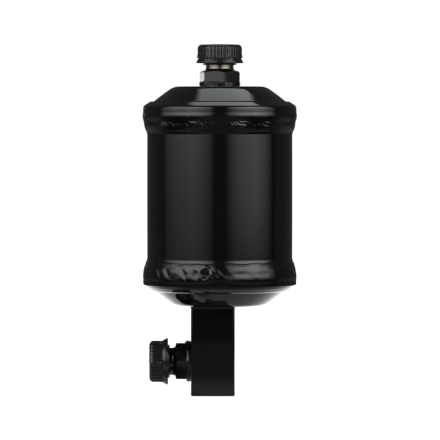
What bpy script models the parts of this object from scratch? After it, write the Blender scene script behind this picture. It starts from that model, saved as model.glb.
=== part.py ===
"""Welded steel filter drier with capped ports, in metres, +Z up.

The canister stands on its square connection block. The origin is on the canister's
axis, level with the underside of the block.
"""

import math

import bmesh
import bpy
from mathutils import Vector

MM = 0.001

# Clearance between pieces that touch in the real object
CONTACT_GAP = 0.3 * MM

# Canister: a tube closed by two equal drawn heads whose skirts lap over its ends
SHELL_OUTER_DIAMETER = 88.9 * MM
SHELL_WALL = 2.0 * MM
HEAD_WALL = 2.25 * MM
HEAD_CROWN_ARC_RADIUS = 10.4 * MM
HEAD_CONE_SLOPE = math.radians(36.8)
HEAD_RISE = 9.2 * MM
HEAD_FOOT_ARC_RADIUS = 1.2 * MM
HEAD_LEDGE_WIDTH = 2.1 * MM
HEAD_BEVEL_SLOPE = math.radians(34.0)
HEAD_SHOULDER_RADIUS = 2.6 * MM
HEAD_SHOULDER_DROP = 4.4 * MM
HEAD_SKIRT_DEPTH = 16.5 * MM

# Circumferential weld beads that cover the step from skirt to tube. The section gives shares
# of the bead's width, from the skirt's edge, and heights as shares of the skirt's wall.
SHELL_WELD_WIDTH = 11.4 * MM
SHELL_WELD_SECTION = ((0.0, 1.0), (0.15, 1.21), (0.35, 0.96), (0.6, 0.78), (0.8, 0.46), (1.0, 0.0))
SHELL_WELD_RIPPLE = 0.25 * MM

# Square connection block under the lower head, offset from the canister's axis
BLOCK_WIDTH = 26.8 * MM
BLOCK_HEIGHT = 54.5 * MM
BLOCK_OFFSET = -4.2 * MM
BLOCK_EDGE_RADIUS = 1.0 * MM
BLOCK_WELD_LEG = 1.3 * MM
PORT_HEIGHT = 20.6 * MM
DRILL_TIP_BELOW_PORT = 3.0 * MM

# Hex port fittings, the same on top and at the side
PASSAGE_DIAMETER = 7.0 * MM
SPIGOT_DIAMETER = 13.0 * MM
SPIGOT_REACH = 1.5 * MM
FITTING_COLLAR_HEIGHT = 1.9 * MM
FITTING_WELD_WIDTH = 1.6 * MM
HEX_ACROSS_FLATS = 22.2 * MM
HEX_LENGTH = 7.3 * MM
HEX_CHAMFER = 2.0 * MM
HEX_FOOT_CHAMFER = 1.0 * MM
THREAD_DIAMETER = 17.46 * MM
NECK_LENGTH = 11.3 * MM
NECK_CHAMFER = 0.6 * MM
NECK_RELIEF_DIAMETER = 17.0 * MM
NECK_RELIEF_LENGTH = 4.4 * MM

# Face seal of a fitting
ORING_SECTION = 1.78 * MM
ORING_MEAN_DIAMETER = 11.4 * MM
ORING_GROOVE_DEPTH = 1.35 * MM

# Screwed plastic caps
CAP_LENGTH = 12.85 * MM
CAP_END_WALL = 2.2 * MM
CAP_COLLAR_DIAMETER = 20.6 * MM
CAP_COLLAR_HEIGHT = 1.0 * MM
CAP_FLANGE_DIAMETER = 28.6 * MM
CAP_FLANGE_THICKNESS = 1.5 * MM
CAP_FLANGE_EDGE_RADIUS = 0.5 * MM
CAP_FLANGE_RISE = 1.2 * MM
CAP_CORNER_RADIUS = 3.5 * MM
CAP_ACROSS_FLATS = 24.7 * MM
CAP_EDGE_RADIUS = 2.5 * MM
CAP_CROWN = 0.25 * MM
CAP_RIBS_PER_SIDE = 6
CAP_RIB_DEPTH = 0.45 * MM
CAP_GUSSET_HEIGHT = 3.0 * MM
CAP_GUSSET_REACH = 0.4 * MM
CAP_SEAL_THICKNESS = 1.5 * MM

# How far each hex piece is turned about its own axis
INLET_FITTING_TURN = math.radians(44.0)
INLET_CAP_TURN = math.radians(54.0)
OUTLET_FITTING_TURN = math.radians(35.0)
OUTLET_CAP_TURN = math.radians(30.0)

# Drying bed, from the lower plate up to the spring
PLATE_THICKNESS = 1.2 * MM
PLATE_HOLE_DIAMETER = 8.0 * MM
PLATE_HOLE_RINGS = 2
PLATE_RIM_WIDTH = 6.0 * MM
PAD_THICKNESS = 5.0 * MM
CORE_HEIGHT = 80.0 * MM
CORE_SIDE_CLEARANCE = 2.65 * MM
CORE_EDGE_CHAMFER = 3.0 * MM
CORE_BORE_DIAMETER = 20.0 * MM
CORE_BORE_DEPTH = 52.0 * MM
CORE_BORE_MOUTH_DIAMETER = 28.0 * MM
SPRING_WIRE_DIAMETER = 2.6 * MM
SPRING_CROWN_MARGIN = 4.0 * MM
SPRING_PLATE_MARGIN = 9.0 * MM
SPRING_HEIGHT = 25.9 * MM
SPRING_FREE_TURNS = 3
SCREEN_THICKNESS = 0.8 * MM
SCREEN_CUP_DIAMETER = 22.0 * MM
SCREEN_BRIM_WIDTH = 4.0 * MM
SCREEN_CUP_HEIGHT = 8.0 * MM
SCREEN_SLOTS = 10
SCREEN_SLOT_WIDTH = 2.4 * MM
SCREEN_SLOT_HEIGHT = 4.2 * MM

# Facets round the turned pieces
SHELL_SEGMENTS = 40
BEAD_SEGMENTS = 56
FITTING_SEGMENTS = 30
ORING_SEGMENTS = 24
ORING_SIDES = 6
HOLE_SIDES = 8
SPRING_STEPS_PER_TURN = 16
SPRING_SIDES = 6

# Worked out from the sizes above
SHELL_RADIUS = SHELL_OUTER_DIAMETER / 2
SHELL_BORE_RADIUS = SHELL_RADIUS - SHELL_WALL
SKIRT_BORE_RADIUS = SHELL_RADIUS + CONTACT_GAP
SKIRT_RADIUS = SKIRT_BORE_RADIUS + HEAD_WALL
SHOULDER_CENTRE_RADIUS = SKIRT_RADIUS - HEAD_SHOULDER_RADIUS
SHOULDER_DEPTH = HEAD_RISE + HEAD_SHOULDER_DROP
BEVEL_RUN = (HEAD_SHOULDER_DROP * math.cos(HEAD_BEVEL_SLOPE) - HEAD_SHOULDER_RADIUS) / math.sin(HEAD_BEVEL_SLOPE)
LEDGE_RADIUS = SHOULDER_CENTRE_RADIUS - BEVEL_RUN
CONE_FOOT_RADIUS = LEDGE_RADIUS - HEAD_LEDGE_WIDTH
CROWN_ARC_RUN = HEAD_CROWN_ARC_RADIUS * math.sin(HEAD_CONE_SLOPE)
CROWN_ARC_DROP = HEAD_CROWN_ARC_RADIUS * (1 - math.cos(HEAD_CONE_SLOPE))
CONE_RUN = (HEAD_RISE - CROWN_ARC_DROP) / math.tan(HEAD_CONE_SLOPE)
CROWN_FLAT_RADIUS = CONE_FOOT_RADIUS - CONE_RUN - CROWN_ARC_RUN
SPIGOT_RADIUS = SPIGOT_DIAMETER / 2
SPIGOT_HOLE_RADIUS = SPIGOT_RADIUS + CONTACT_GAP
SPIGOT_LENGTH = CONTACT_GAP + HEAD_WALL + SPIGOT_REACH
PASSAGE_RADIUS = PASSAGE_DIAMETER / 2
THREAD_RADIUS = THREAD_DIAMETER / 2
LOWER_CROWN_Z = BLOCK_HEIGHT + CONTACT_GAP
LOWER_PLATE_Z = LOWER_CROWN_Z + HEAD_RISE + HEAD_WALL + CONTACT_GAP
LOWER_PAD_Z = LOWER_PLATE_Z + PLATE_THICKNESS + CONTACT_GAP
CORE_Z = LOWER_PAD_Z + PAD_THICKNESS + CONTACT_GAP
UPPER_PAD_Z = CORE_Z + CORE_HEIGHT + CONTACT_GAP
UPPER_PLATE_Z = UPPER_PAD_Z + PAD_THICKNESS + CONTACT_GAP
SPRING_Z = UPPER_PLATE_Z + PLATE_THICKNESS + CONTACT_GAP
UPPER_CROWN_Z = SPRING_Z + SPRING_HEIGHT + CONTACT_GAP + HEAD_WALL
BLOCK_SIDE_X = BLOCK_OFFSET - BLOCK_WIDTH / 2
BED_RADIUS = SHELL_BORE_RADIUS - CONTACT_GAP
PLATE_RADIUS = LEDGE_RADIUS - HEAD_WALL * math.tan(HEAD_BEVEL_SLOPE / 2) - CONTACT_GAP
FITTING_FACE = FITTING_COLLAR_HEIGHT + HEX_LENGTH + NECK_LENGTH
ORING_CENTRE = FITTING_FACE - ORING_GROOVE_DEPTH + CONTACT_GAP + ORING_SECTION / 2
SEAL_BASE = ORING_CENTRE + ORING_SECTION / 2 + CONTACT_GAP
CAP_BASE = SEAL_BASE + CAP_SEAL_THICKNESS + CONTACT_GAP + CAP_END_WALL - CAP_LENGTH
CAP_BORE_RADIUS = THREAD_RADIUS + CONTACT_GAP


def clear_scene():
    for obj in list(bpy.data.objects):
        bpy.data.objects.remove(obj)


def make_material(name, colour, roughness, metallic):
    material = bpy.data.materials.new(name)
    material.use_nodes = True
    shader = material.node_tree.nodes["Principled BSDF"]
    shader.inputs["Base Color"].default_value = (*colour, 1.0)
    shader.inputs["Roughness"].default_value = roughness
    shader.inputs["Metallic"].default_value = metallic
    return material


def object_from(name, bm, material, sharp_angle=30.0):
    """A shaded object from a closed bmesh, with its faces turned outwards."""
    bmesh.ops.recalc_face_normals(bm, faces=bm.faces)
    mesh = bpy.data.meshes.new(name)
    bm.to_mesh(mesh)
    bm.free()
    mesh.shade_smooth()
    mesh.set_sharp_from_angle(angle=math.radians(sharp_angle))
    mesh.materials.append(material)
    obj = bpy.data.objects.new(name, mesh)
    bpy.context.collection.objects.link(obj)
    return obj


def as_cutter(obj):
    obj.hide_render = True
    obj.display_type = "WIRE"
    return obj


def combine(obj, other, operation):
    """Adds an exact Boolean with a hidden helper that shares the object's frame."""
    as_cutter(other).parent = obj
    modifier = obj.modifiers.new(f"{operation} {other.name}", "BOOLEAN")
    modifier.operation = operation
    modifier.solver = "EXACT"
    modifier.object = other


def arc(centre, radius, start, end, steps):
    """Points (r, z) on an arc from one angle to another, both ends included."""
    angles = [start + (end - start) * i / steps for i in range(steps + 1)]
    return [(centre[0] + radius * math.cos(a), centre[1] + radius * math.sin(a)) for a in angles]


def add_loop(bm, points):
    return [bm.verts.new(point) for point in points]


def bridge(bm, lower, upper):
    count = len(lower)
    for i in range(count):
        j = (i + 1) % count
        bm.faces.new((lower[i], lower[j], upper[j], upper[i]))


def turned(name, profile, segments, material):
    """Revolves a closed outline of (r, z) points about Z. Points with r = 0 become poles."""
    bm = bmesh.new()
    rows = []
    for radius, z in profile:
        if radius < 1e-9:
            rows.append([bm.verts.new((0.0, 0.0, z))])
            continue
        angles = [2 * math.pi * i / segments for i in range(segments)]
        rows.append(add_loop(bm, [(radius * math.cos(a), radius * math.sin(a), z) for a in angles]))
    for lower, upper in zip(rows, rows[1:] + rows[:1]):
        if len(lower) > 1 and len(upper) > 1:
            bridge(bm, lower, upper)
        elif len(lower) > 1 or len(upper) > 1:
            pole, ring = (lower[0], upper) if len(lower) == 1 else (upper[0], lower)
            for i in range(segments):
                bm.faces.new((pole, ring[i], ring[(i + 1) % segments]))
    return object_from(name, bm, material)


def stacked(name, loops, material):
    """A solid skinned over loops of equal length, closed by a flat face at each end."""
    bm = bmesh.new()
    rows = [add_loop(bm, points) for points in loops]
    for lower, upper in zip(rows, rows[1:]):
        bridge(bm, lower, upper)
    bm.faces.new(rows[0])
    bm.faces.new(rows[-1])
    return object_from(name, bm, material)


def head_surface(offset, steps):
    """Half profile of a head from the crown to the skirt, moved inwards by an offset.

    Z is measured from the crown's outer face and runs downwards. Each arc gets a
    number of steps in proportion to its turn.
    """
    slope_angle = math.pi / 2 - HEAD_CONE_SLOPE
    crown_centre = (CROWN_FLAT_RADIUS, -HEAD_CROWN_ARC_RADIUS)
    crown = arc(crown_centre, HEAD_CROWN_ARC_RADIUS - offset, math.pi / 2, slope_angle, steps)

    tangent_run = HEAD_FOOT_ARC_RADIUS * math.tan(HEAD_CONE_SLOPE / 2)
    foot_centre = (CONE_FOOT_RADIUS + tangent_run, HEAD_FOOT_ARC_RADIUS - HEAD_RISE)
    foot_radius = HEAD_FOOT_ARC_RADIUS + offset
    foot = arc(foot_centre, foot_radius, -math.pi / 2 - HEAD_CONE_SLOPE, -math.pi / 2, steps - 1)

    round_off = HEAD_SHOULDER_RADIUS - offset
    bevel_angle = math.pi / 2 - HEAD_BEVEL_SLOPE
    ledge_run = HEAD_SHOULDER_RADIUS * math.tan(HEAD_BEVEL_SLOPE / 2)
    ledge_centre = (LEDGE_RADIUS - ledge_run, -HEAD_RISE - HEAD_SHOULDER_RADIUS)
    ledge = arc(ledge_centre, round_off, math.pi / 2, bevel_angle, steps - 1)
    shoulder_centre = (SHOULDER_CENTRE_RADIUS, -SHOULDER_DEPTH)
    shoulder = arc(shoulder_centre, round_off, bevel_angle, 0.0, steps)
    return crown + foot + ledge + shoulder + [(SKIRT_RADIUS - offset, -HEAD_SKIRT_DEPTH)]


def drawn_head(name, material):
    """Pressed head with a flat crown, a cone, a ledge, a bevelled shoulder and a lapping skirt."""
    outer = [(SPIGOT_HOLE_RADIUS, 0.0)] + head_surface(0.0, 3)
    inner = [(SPIGOT_HOLE_RADIUS, -HEAD_WALL)] + head_surface(HEAD_WALL, 2)
    return turned(name, outer + inner[::-1], SHELL_SEGMENTS, material)


def bead_ripple(angle, along):
    """Unevenness of a hand-laid bead, from 0 to 1, closed round the circle."""
    wave = math.sin(23 * angle + 2.1 * along) + 0.6 * math.sin(37 * angle - 1.3 * along)
    return 0.5 + wave / 3.2


def shell_weld(name, material):
    """Bead that swells at the skirt's edge and runs out on the tube. Z runs downwards."""
    start = -HEAD_SKIRT_DEPTH - CONTACT_GAP
    bm = bmesh.new()
    rows = []
    for share, swell in SHELL_WELD_SECTION:
        height = HEAD_WALL * swell
        depth = SHELL_WELD_RIPPLE * math.sin(math.pi * share)
        row = []
        for k in range(BEAD_SEGMENTS):
            angle = 2 * math.pi * k / BEAD_SEGMENTS
            radius = SKIRT_BORE_RADIUS + height - depth * bead_ripple(angle, share * math.pi)
            row.append((radius * math.cos(angle), radius * math.sin(angle), start - SHELL_WELD_WIDTH * share))
        rows.append(add_loop(bm, row))
    angles = [2 * math.pi * k / BEAD_SEGMENTS for k in range(BEAD_SEGMENTS)]
    root = [(SKIRT_BORE_RADIUS * math.cos(a), SKIRT_BORE_RADIUS * math.sin(a), start) for a in angles]
    rows.append(add_loop(bm, root))
    for lower, upper in zip(rows, rows[1:] + rows[:1]):
        bridge(bm, lower, upper)
    return object_from(name, bm, material)


def shell_tube(material):
    low = LOWER_CROWN_Z + SHOULDER_DEPTH + CONTACT_GAP
    high = UPPER_CROWN_Z - SHOULDER_DEPTH - CONTACT_GAP
    outline = [
        (SHELL_RADIUS, low),
        (SHELL_RADIUS, high),
        (SHELL_BORE_RADIUS, high),
        (SHELL_BORE_RADIUS, low),
    ]
    return turned("shell_tube", outline, SHELL_SEGMENTS, material)


def build_canister(paint):
    """The tube, its two heads and the two beads. The lower ones are the upper ones turned over."""
    shell_tube(paint)
    for side, crown_z, turn in (("upper", UPPER_CROWN_Z, 0.0), ("lower", LOWER_CROWN_Z, math.pi)):
        for obj in (drawn_head(f"{side}_head", paint), shell_weld(f"{side}_weld", paint)):
            obj.location.z = crown_z
            obj.rotation_euler.x = turn


def square_loop(half, corner, z, corner_steps=3):
    """A square outline with rounded corners, as 3D points."""
    points = []
    for quarter in range(4):
        angle = math.pi / 4 + quarter * math.pi / 2
        centre = Vector((math.cos(angle), math.sin(angle))) * math.sqrt(2) * (half - corner)
        start = quarter * math.pi / 2
        for x, y in arc(centre, corner, start, start + math.pi / 2, corner_steps):
            points.append((x, y, z))
    return points


def rod_cutter(name, radius, low, high, material, segments=FITTING_SEGMENTS):
    return turned(name, [(0.0, low), (radius, low), (radius, high), (0.0, high)], segments, material)


def outlet_block(paint):
    """Square bar with an L-shaped passage, from the head's hole to the side port."""
    half = BLOCK_WIDTH / 2
    edge = BLOCK_EDGE_RADIUS
    inset = half - edge / 2
    loops = [
        square_loop(inset, edge / 2, 0.0),
        square_loop(half, edge, edge / 2),
        square_loop(half, edge, BLOCK_HEIGHT - edge / 2),
        square_loop(inset, edge / 2, BLOCK_HEIGHT),
    ]
    block = stacked("outlet_block", loops, paint)
    block.location.x = BLOCK_OFFSET

    down = rod_cutter(
        "block_down_drill",
        PASSAGE_RADIUS,
        PORT_HEIGHT - DRILL_TIP_BELOW_PORT - PASSAGE_RADIUS,
        BLOCK_HEIGHT + edge,
        paint,
    )
    down.location.x = -BLOCK_OFFSET
    combine(block, down, "DIFFERENCE")

    mouth = half + edge
    seat = half - SPIGOT_LENGTH
    across = turned(
        "block_cross_drill",
        [
            (0.0, BLOCK_OFFSET),
            (PASSAGE_RADIUS, BLOCK_OFFSET),
            (PASSAGE_RADIUS, seat),
            (SPIGOT_HOLE_RADIUS, seat),
            (SPIGOT_HOLE_RADIUS, mouth),
            (0.0, mouth),
        ],
        FITTING_SEGMENTS,
        paint,
    )
    across.location.z = PORT_HEIGHT
    across.rotation_euler.y = -math.pi / 2
    combine(block, across, "DIFFERENCE")
    return block


def outlet_block_weld(paint):
    """Thin fillet round the top of the block, just under the lower head's flat crown."""
    half = BLOCK_WIDTH / 2 + CONTACT_GAP
    corner = BLOCK_EDGE_RADIUS + CONTACT_GAP
    low = BLOCK_HEIGHT - BLOCK_WELD_LEG
    reach = half + BLOCK_WELD_LEG
    bm = bmesh.new()
    rows = [
        add_loop(bm, square_loop(half, corner, low)),
        add_loop(bm, square_loop(half + BLOCK_WELD_LEG / 2, corner + BLOCK_WELD_LEG / 2, low + BLOCK_WELD_LEG / 3)),
        add_loop(bm, square_loop(reach, corner + BLOCK_WELD_LEG, BLOCK_HEIGHT)),
        add_loop(bm, square_loop(half, corner, BLOCK_HEIGHT)),
    ]
    for lower, upper in zip(rows, rows[1:] + rows[:1]):
        bridge(bm, lower, upper)
    weld = object_from("outlet_block_weld", bm, paint)
    weld.location.x = BLOCK_OFFSET
    return weld


def hex_blank(name, material):
    """Hexagonal length of the fitting, its corners trimmed by a turned envelope."""
    corner_radius = HEX_ACROSS_FLATS / math.sqrt(3)
    low = FITTING_COLLAR_HEIGHT
    high = low + HEX_LENGTH
    bm = bmesh.new()
    rows = []
    for z in (low, high):
        angles = [math.pi / 3 * k for k in range(6)]
        rows.append(add_loop(bm, [(corner_radius * math.cos(a), corner_radius * math.sin(a), z) for a in angles]))
    bridge(bm, rows[0], rows[1])
    bm.faces.new(rows[0])
    bm.faces.new(rows[1])
    blank = object_from(name, bm, material)

    top_radius = corner_radius - HEX_CHAMFER
    foot_radius = corner_radius - HEX_FOOT_CHAMFER
    reach = corner_radius + HEX_CHAMFER
    slope = math.tan(math.radians(30))
    envelope = turned(
        f"{name}_trim",
        [
            (0.0, low - HEX_CHAMFER * slope),
            (foot_radius, low),
            (reach, low + (reach - foot_radius) * slope),
            (reach, high - (reach - top_radius) * slope),
            (top_radius, high),
            (0.0, high + HEX_CHAMFER * slope),
        ],
        FITTING_SEGMENTS,
        material,
    )
    combine(blank, envelope, "INTERSECT")
    return blank


def fitting_core(name, material):
    """Turned part of the fitting: spigot, round foot and the neck that carries the thread."""
    shoulder = FITTING_COLLAR_HEIGHT + HEX_LENGTH
    relief = NECK_RELIEF_DIAMETER / 2
    outline = [
        (0.0, -SPIGOT_LENGTH),
        (SPIGOT_RADIUS, -SPIGOT_LENGTH),
        (SPIGOT_RADIUS, 0.0),
        (HEX_ACROSS_FLATS / 2 - CONTACT_GAP, 0.0),
        (HEX_ACROSS_FLATS / 2 - CONTACT_GAP, FITTING_COLLAR_HEIGHT + HEX_CHAMFER),
        (relief, FITTING_COLLAR_HEIGHT + HEX_CHAMFER),
        (relief, shoulder + NECK_RELIEF_LENGTH),
        (THREAD_RADIUS, shoulder + NECK_RELIEF_LENGTH + NECK_CHAMFER),
        (THREAD_RADIUS, FITTING_FACE - NECK_CHAMFER),
        (THREAD_RADIUS - NECK_CHAMFER, FITTING_FACE),
        (0.0, FITTING_FACE),
    ]
    return turned(name, outline, FITTING_SEGMENTS, material)


def port_fitting(name, material):
    """Hex fitting on its own axis. Its seat is at z = 0 and its sealing face points to +Z."""
    fitting = fitting_core(name, material)
    combine(fitting, hex_blank(f"{name}_hex", material), "UNION")

    passage = rod_cutter(
        f"{name}_passage",
        PASSAGE_RADIUS,
        -SPIGOT_LENGTH - NECK_CHAMFER,
        FITTING_FACE + NECK_CHAMFER,
        material,
        ORING_SEGMENTS,
    )
    combine(fitting, passage, "DIFFERENCE")

    groove_half = ORING_SECTION / 2 + CONTACT_GAP
    mean = ORING_MEAN_DIAMETER / 2
    floor = FITTING_FACE - ORING_GROOVE_DEPTH
    groove = turned(
        f"{name}_groove",
        [
            (mean + groove_half, floor),
            (mean + groove_half, FITTING_FACE + NECK_CHAMFER),
            (mean - groove_half, FITTING_FACE + NECK_CHAMFER),
            (mean - groove_half, floor),
        ],
        ORING_SEGMENTS,
        material,
    )
    combine(fitting, groove, "DIFFERENCE")
    return fitting


def fitting_weld(name, material):
    """Bead that fills the corner between the fitting's round foot and its seat."""
    inner = HEX_ACROSS_FLATS / 2
    top = FITTING_COLLAR_HEIGHT - CONTACT_GAP
    outline = [
        (inner, 0.0),
        (inner + FITTING_WELD_WIDTH, 0.0),
        (inner + 0.85 * FITTING_WELD_WIDTH, 0.6 * top),
        (inner + 0.45 * FITTING_WELD_WIDTH, top),
        (inner, top),
    ]
    return turned(name, outline, FITTING_SEGMENTS, material)


def oring(name, material):
    section = arc((ORING_MEAN_DIAMETER / 2, ORING_CENTRE), ORING_SECTION / 2, 0.0, 2 * math.pi, ORING_SIDES)
    return turned(name, section[:-1], ORING_SEGMENTS, material)


def cap_seal(name, material):
    radius = CAP_BORE_RADIUS - CONTACT_GAP
    outline = [
        (0.0, SEAL_BASE),
        (radius, SEAL_BASE),
        (radius, SEAL_BASE + CAP_SEAL_THICKNESS),
        (0.0, SEAL_BASE + CAP_SEAL_THICKNESS),
    ]
    return turned(name, outline, ORING_SEGMENTS, material)


def rounded_hexagon(share, inset):
    """Point and outward direction at a share of the way round a hexagon with round corners."""
    corner = CAP_CORNER_RADIUS - inset
    centre_distance = (CAP_ACROSS_FLATS / 2 - CAP_CORNER_RADIUS) / math.cos(math.pi / 6)
    bend = CAP_CORNER_RADIUS * math.pi / 3
    side = centre_distance
    step = share * 6
    sector = math.floor(step)
    travel = (step - sector) * (bend + side)
    corner_angle = sector * math.pi / 3
    centre = Vector((math.cos(corner_angle), math.sin(corner_angle))) * centre_distance
    if travel < bend / 2:
        angle = corner_angle + travel / CAP_CORNER_RADIUS
        return centre + corner * Vector((math.cos(angle), math.sin(angle))), angle
    if travel > bend / 2 + side:
        angle = corner_angle + math.pi / 3 - (bend + side - travel) / CAP_CORNER_RADIUS
        next_angle = corner_angle + math.pi / 3
        centre = Vector((math.cos(next_angle), math.sin(next_angle))) * centre_distance
        return centre + corner * Vector((math.cos(angle), math.sin(angle))), angle
    angle = corner_angle + math.pi / 6
    outward = Vector((math.cos(angle), math.sin(angle)))
    along = Vector((-outward.y, outward.x))
    return centre + corner * outward + along * (travel - bend / 2), angle


def ribbed_loop(z, inset, rib_depth, corner_reach):
    """Outline of the cap's grip at one height: a crest and a root for each rib."""
    points = []
    count = 6 * CAP_RIBS_PER_SIDE * 2
    for i in range(count):
        point, angle = rounded_hexagon(i / count, inset)
        on_corner = i % (2 * CAP_RIBS_PER_SIDE) == 0
        shift = corner_reach if on_corner else 0.0
        if i % 2:
            shift -= rib_depth
        points.append((point.x + shift * math.cos(angle), point.y + shift * math.sin(angle), z))
    return points


def round_loop(z, radius):
    """A circle whose points lie in the same directions as the ribs."""
    points = []
    count = 6 * CAP_RIBS_PER_SIDE * 2
    for i in range(count):
        point, _ = rounded_hexagon(i / count, 0.0)
        direction = point.normalized()
        points.append((direction.x * radius, direction.y * radius, z))
    return points


def port_cap(name, material):
    """Plastic cap with a collar, a flange, a ribbed hexagonal grip and a blind bore.

    Its open end is z = 0.
    """
    collar = CAP_COLLAR_DIAMETER / 2
    flange = CAP_FLANGE_DIAMETER / 2
    edge = CAP_FLANGE_EDGE_RADIUS
    foot = CAP_COLLAR_HEIGHT + CAP_FLANGE_THICKNESS
    rim = CAP_LENGTH - CAP_CROWN
    grip_top = rim - CAP_EDGE_RADIUS
    bevel = CAP_EDGE_RADIUS * (1 - math.cos(math.pi / 4))
    loops = [
        round_loop(0.0, collar),
        round_loop(CAP_COLLAR_HEIGHT, collar),
        round_loop(CAP_COLLAR_HEIGHT, flange - edge),
        round_loop(CAP_COLLAR_HEIGHT + edge, flange),
        round_loop(foot - edge, flange),
        round_loop(foot, flange - edge / 3),
        ribbed_loop(foot + CAP_FLANGE_RISE, 0.0, CAP_RIB_DEPTH, CAP_GUSSET_REACH),
        ribbed_loop(foot + CAP_GUSSET_HEIGHT, 0.0, CAP_RIB_DEPTH, 0.0),
        ribbed_loop(grip_top, 0.0, CAP_RIB_DEPTH, 0.0),
        ribbed_loop(rim - bevel, bevel, CAP_RIB_DEPTH / 3, 0.0),
        ribbed_loop(rim, CAP_EDGE_RADIUS, 0.0, 0.0),
        round_loop(CAP_LENGTH, CAP_ACROSS_FLATS / 4),
    ]
    cap = stacked(name, loops, material)
    bore = rod_cutter(
        f"{name}_bore",
        CAP_BORE_RADIUS,
        -CAP_END_WALL,
        CAP_LENGTH - CAP_END_WALL,
        material,
    )
    combine(cap, bore, "DIFFERENCE")
    return cap


def build_port(side, location, tilt, fitting_turn, cap_turn, materials):
    """One port with its fitting, bead, seals and cap, on an empty that faces outwards."""
    frame = bpy.data.objects.new(f"{side}_port", None)
    frame.location = location
    frame.rotation_euler.y = tilt
    bpy.context.collection.objects.link(frame)

    fitting = port_fitting(f"{side}_fitting", materials["paint"])
    fitting.rotation_euler.z = fitting_turn
    weld = fitting_weld(f"{side}_fitting_weld", materials["paint"])
    ring = oring(f"{side}_oring", materials["rubber"])
    seal = cap_seal(f"{side}_cap_seal", materials["rubber"])
    cap = port_cap(f"{side}_cap", materials["plastic"])
    cap.location.z = CAP_BASE
    cap.rotation_euler.z = cap_turn
    for obj in (fitting, weld, ring, seal, cap):
        obj.parent = frame


def perforated_plate(name, z, material):
    """Round plate with rings of holes about a central one."""
    outline = [(0.0, 0.0), (PLATE_RADIUS, 0.0), (PLATE_RADIUS, PLATE_THICKNESS), (0.0, PLATE_THICKNESS)]
    plate = turned(name, outline, SHELL_SEGMENTS, material)
    plate.location.z = z
    ring_pitch = (PLATE_RADIUS - PLATE_RIM_WIDTH - PLATE_HOLE_DIAMETER / 2) / PLATE_HOLE_RINGS
    bm = bmesh.new()
    for ring in range(PLATE_HOLE_RINGS + 1):
        count = max(1, 6 * ring)
        for k in range(count):
            angle = 2 * math.pi * k / count
            centre = Vector((math.cos(angle), math.sin(angle), 0.0)) * ring * ring_pitch
            rows = []
            for height in (-PLATE_THICKNESS, 2 * PLATE_THICKNESS):
                row = []
                for x, y in arc(centre, PLATE_HOLE_DIAMETER / 2, 0.0, 2 * math.pi, HOLE_SIDES)[:-1]:
                    row.append((x, y, height))
                rows.append(add_loop(bm, row))
            bridge(bm, rows[0], rows[1])
            bm.faces.new(rows[0])
            bm.faces.new(rows[1])
    combine(plate, object_from(f"{name}_punches", bm, material), "DIFFERENCE")
    return plate


def filter_pad(name, z, material):
    outline = [(0.0, 0.0), (BED_RADIUS, 0.0), (BED_RADIUS, PAD_THICKNESS), (0.0, PAD_THICKNESS)]
    pad = turned(name, outline, SHELL_SEGMENTS, material)
    pad.location.z = z
    return pad


def desiccant_core(z, material):
    """Moulded drying core with a tapered blind bore that opens towards the outlet."""
    radius = BED_RADIUS - CORE_SIDE_CLEARANCE
    chamfer = CORE_EDGE_CHAMFER
    outline = [
        (0.0, CORE_BORE_DEPTH),
        (CORE_BORE_DIAMETER / 2, CORE_BORE_DEPTH),
        (CORE_BORE_MOUTH_DIAMETER / 2, 0.0),
        (radius - chamfer, 0.0),
        (radius, chamfer),
        (radius, CORE_HEIGHT - chamfer),
        (radius - chamfer, CORE_HEIGHT),
        (0.0, CORE_HEIGHT),
    ]
    core = turned("desiccant_core", outline, SHELL_SEGMENTS, material)
    core.location.z = z
    return core


def spring_path():
    """Centre line of the conical spring: a flat turn at each end and free turns between them."""
    rise = SPRING_HEIGHT - SPRING_WIRE_DIAMETER
    base_radius = BED_RADIUS - SPRING_PLATE_MARGIN
    top_radius = CROWN_FLAT_RADIUS - SPRING_CROWN_MARGIN
    turns = SPRING_FREE_TURNS + 2
    points = []
    for i in range(turns * SPRING_STEPS_PER_TURN + 1):
        turn = i / SPRING_STEPS_PER_TURN
        share = min(max((turn - 1) / SPRING_FREE_TURNS, 0.0), 1.0)
        spread = turn / turns
        radius = base_radius * (1 - spread) + top_radius * spread
        angle = 2 * math.pi * turn
        z = SPRING_WIRE_DIAMETER / 2 + rise * share
        points.append(Vector((radius * math.cos(angle), radius * math.sin(angle), z)))
    return points


def compression_spring(z, material):
    path = spring_path()
    bm = bmesh.new()
    rows = []
    for i, point in enumerate(path):
        before = path[max(i - 1, 0)]
        after = path[min(i + 1, len(path) - 1)]
        tangent = (after - before).normalized()
        outward = Vector((point.x, point.y, 0.0)).normalized()
        upward = tangent.cross(outward).normalized()
        outward = upward.cross(tangent)
        row = []
        for k in range(SPRING_SIDES):
            angle = 2 * math.pi * k / SPRING_SIDES
            offset = outward * math.cos(angle) + upward * math.sin(angle)
            row.append(point + offset * SPRING_WIRE_DIAMETER / 2)
        rows.append(add_loop(bm, row))
    for lower, upper in zip(rows, rows[1:]):
        bridge(bm, lower, upper)
    bm.faces.new(rows[0])
    bm.faces.new(rows[-1])
    spring = object_from("compression_spring", bm, material, 60.0)
    spring.location.z = z
    return spring


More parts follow.
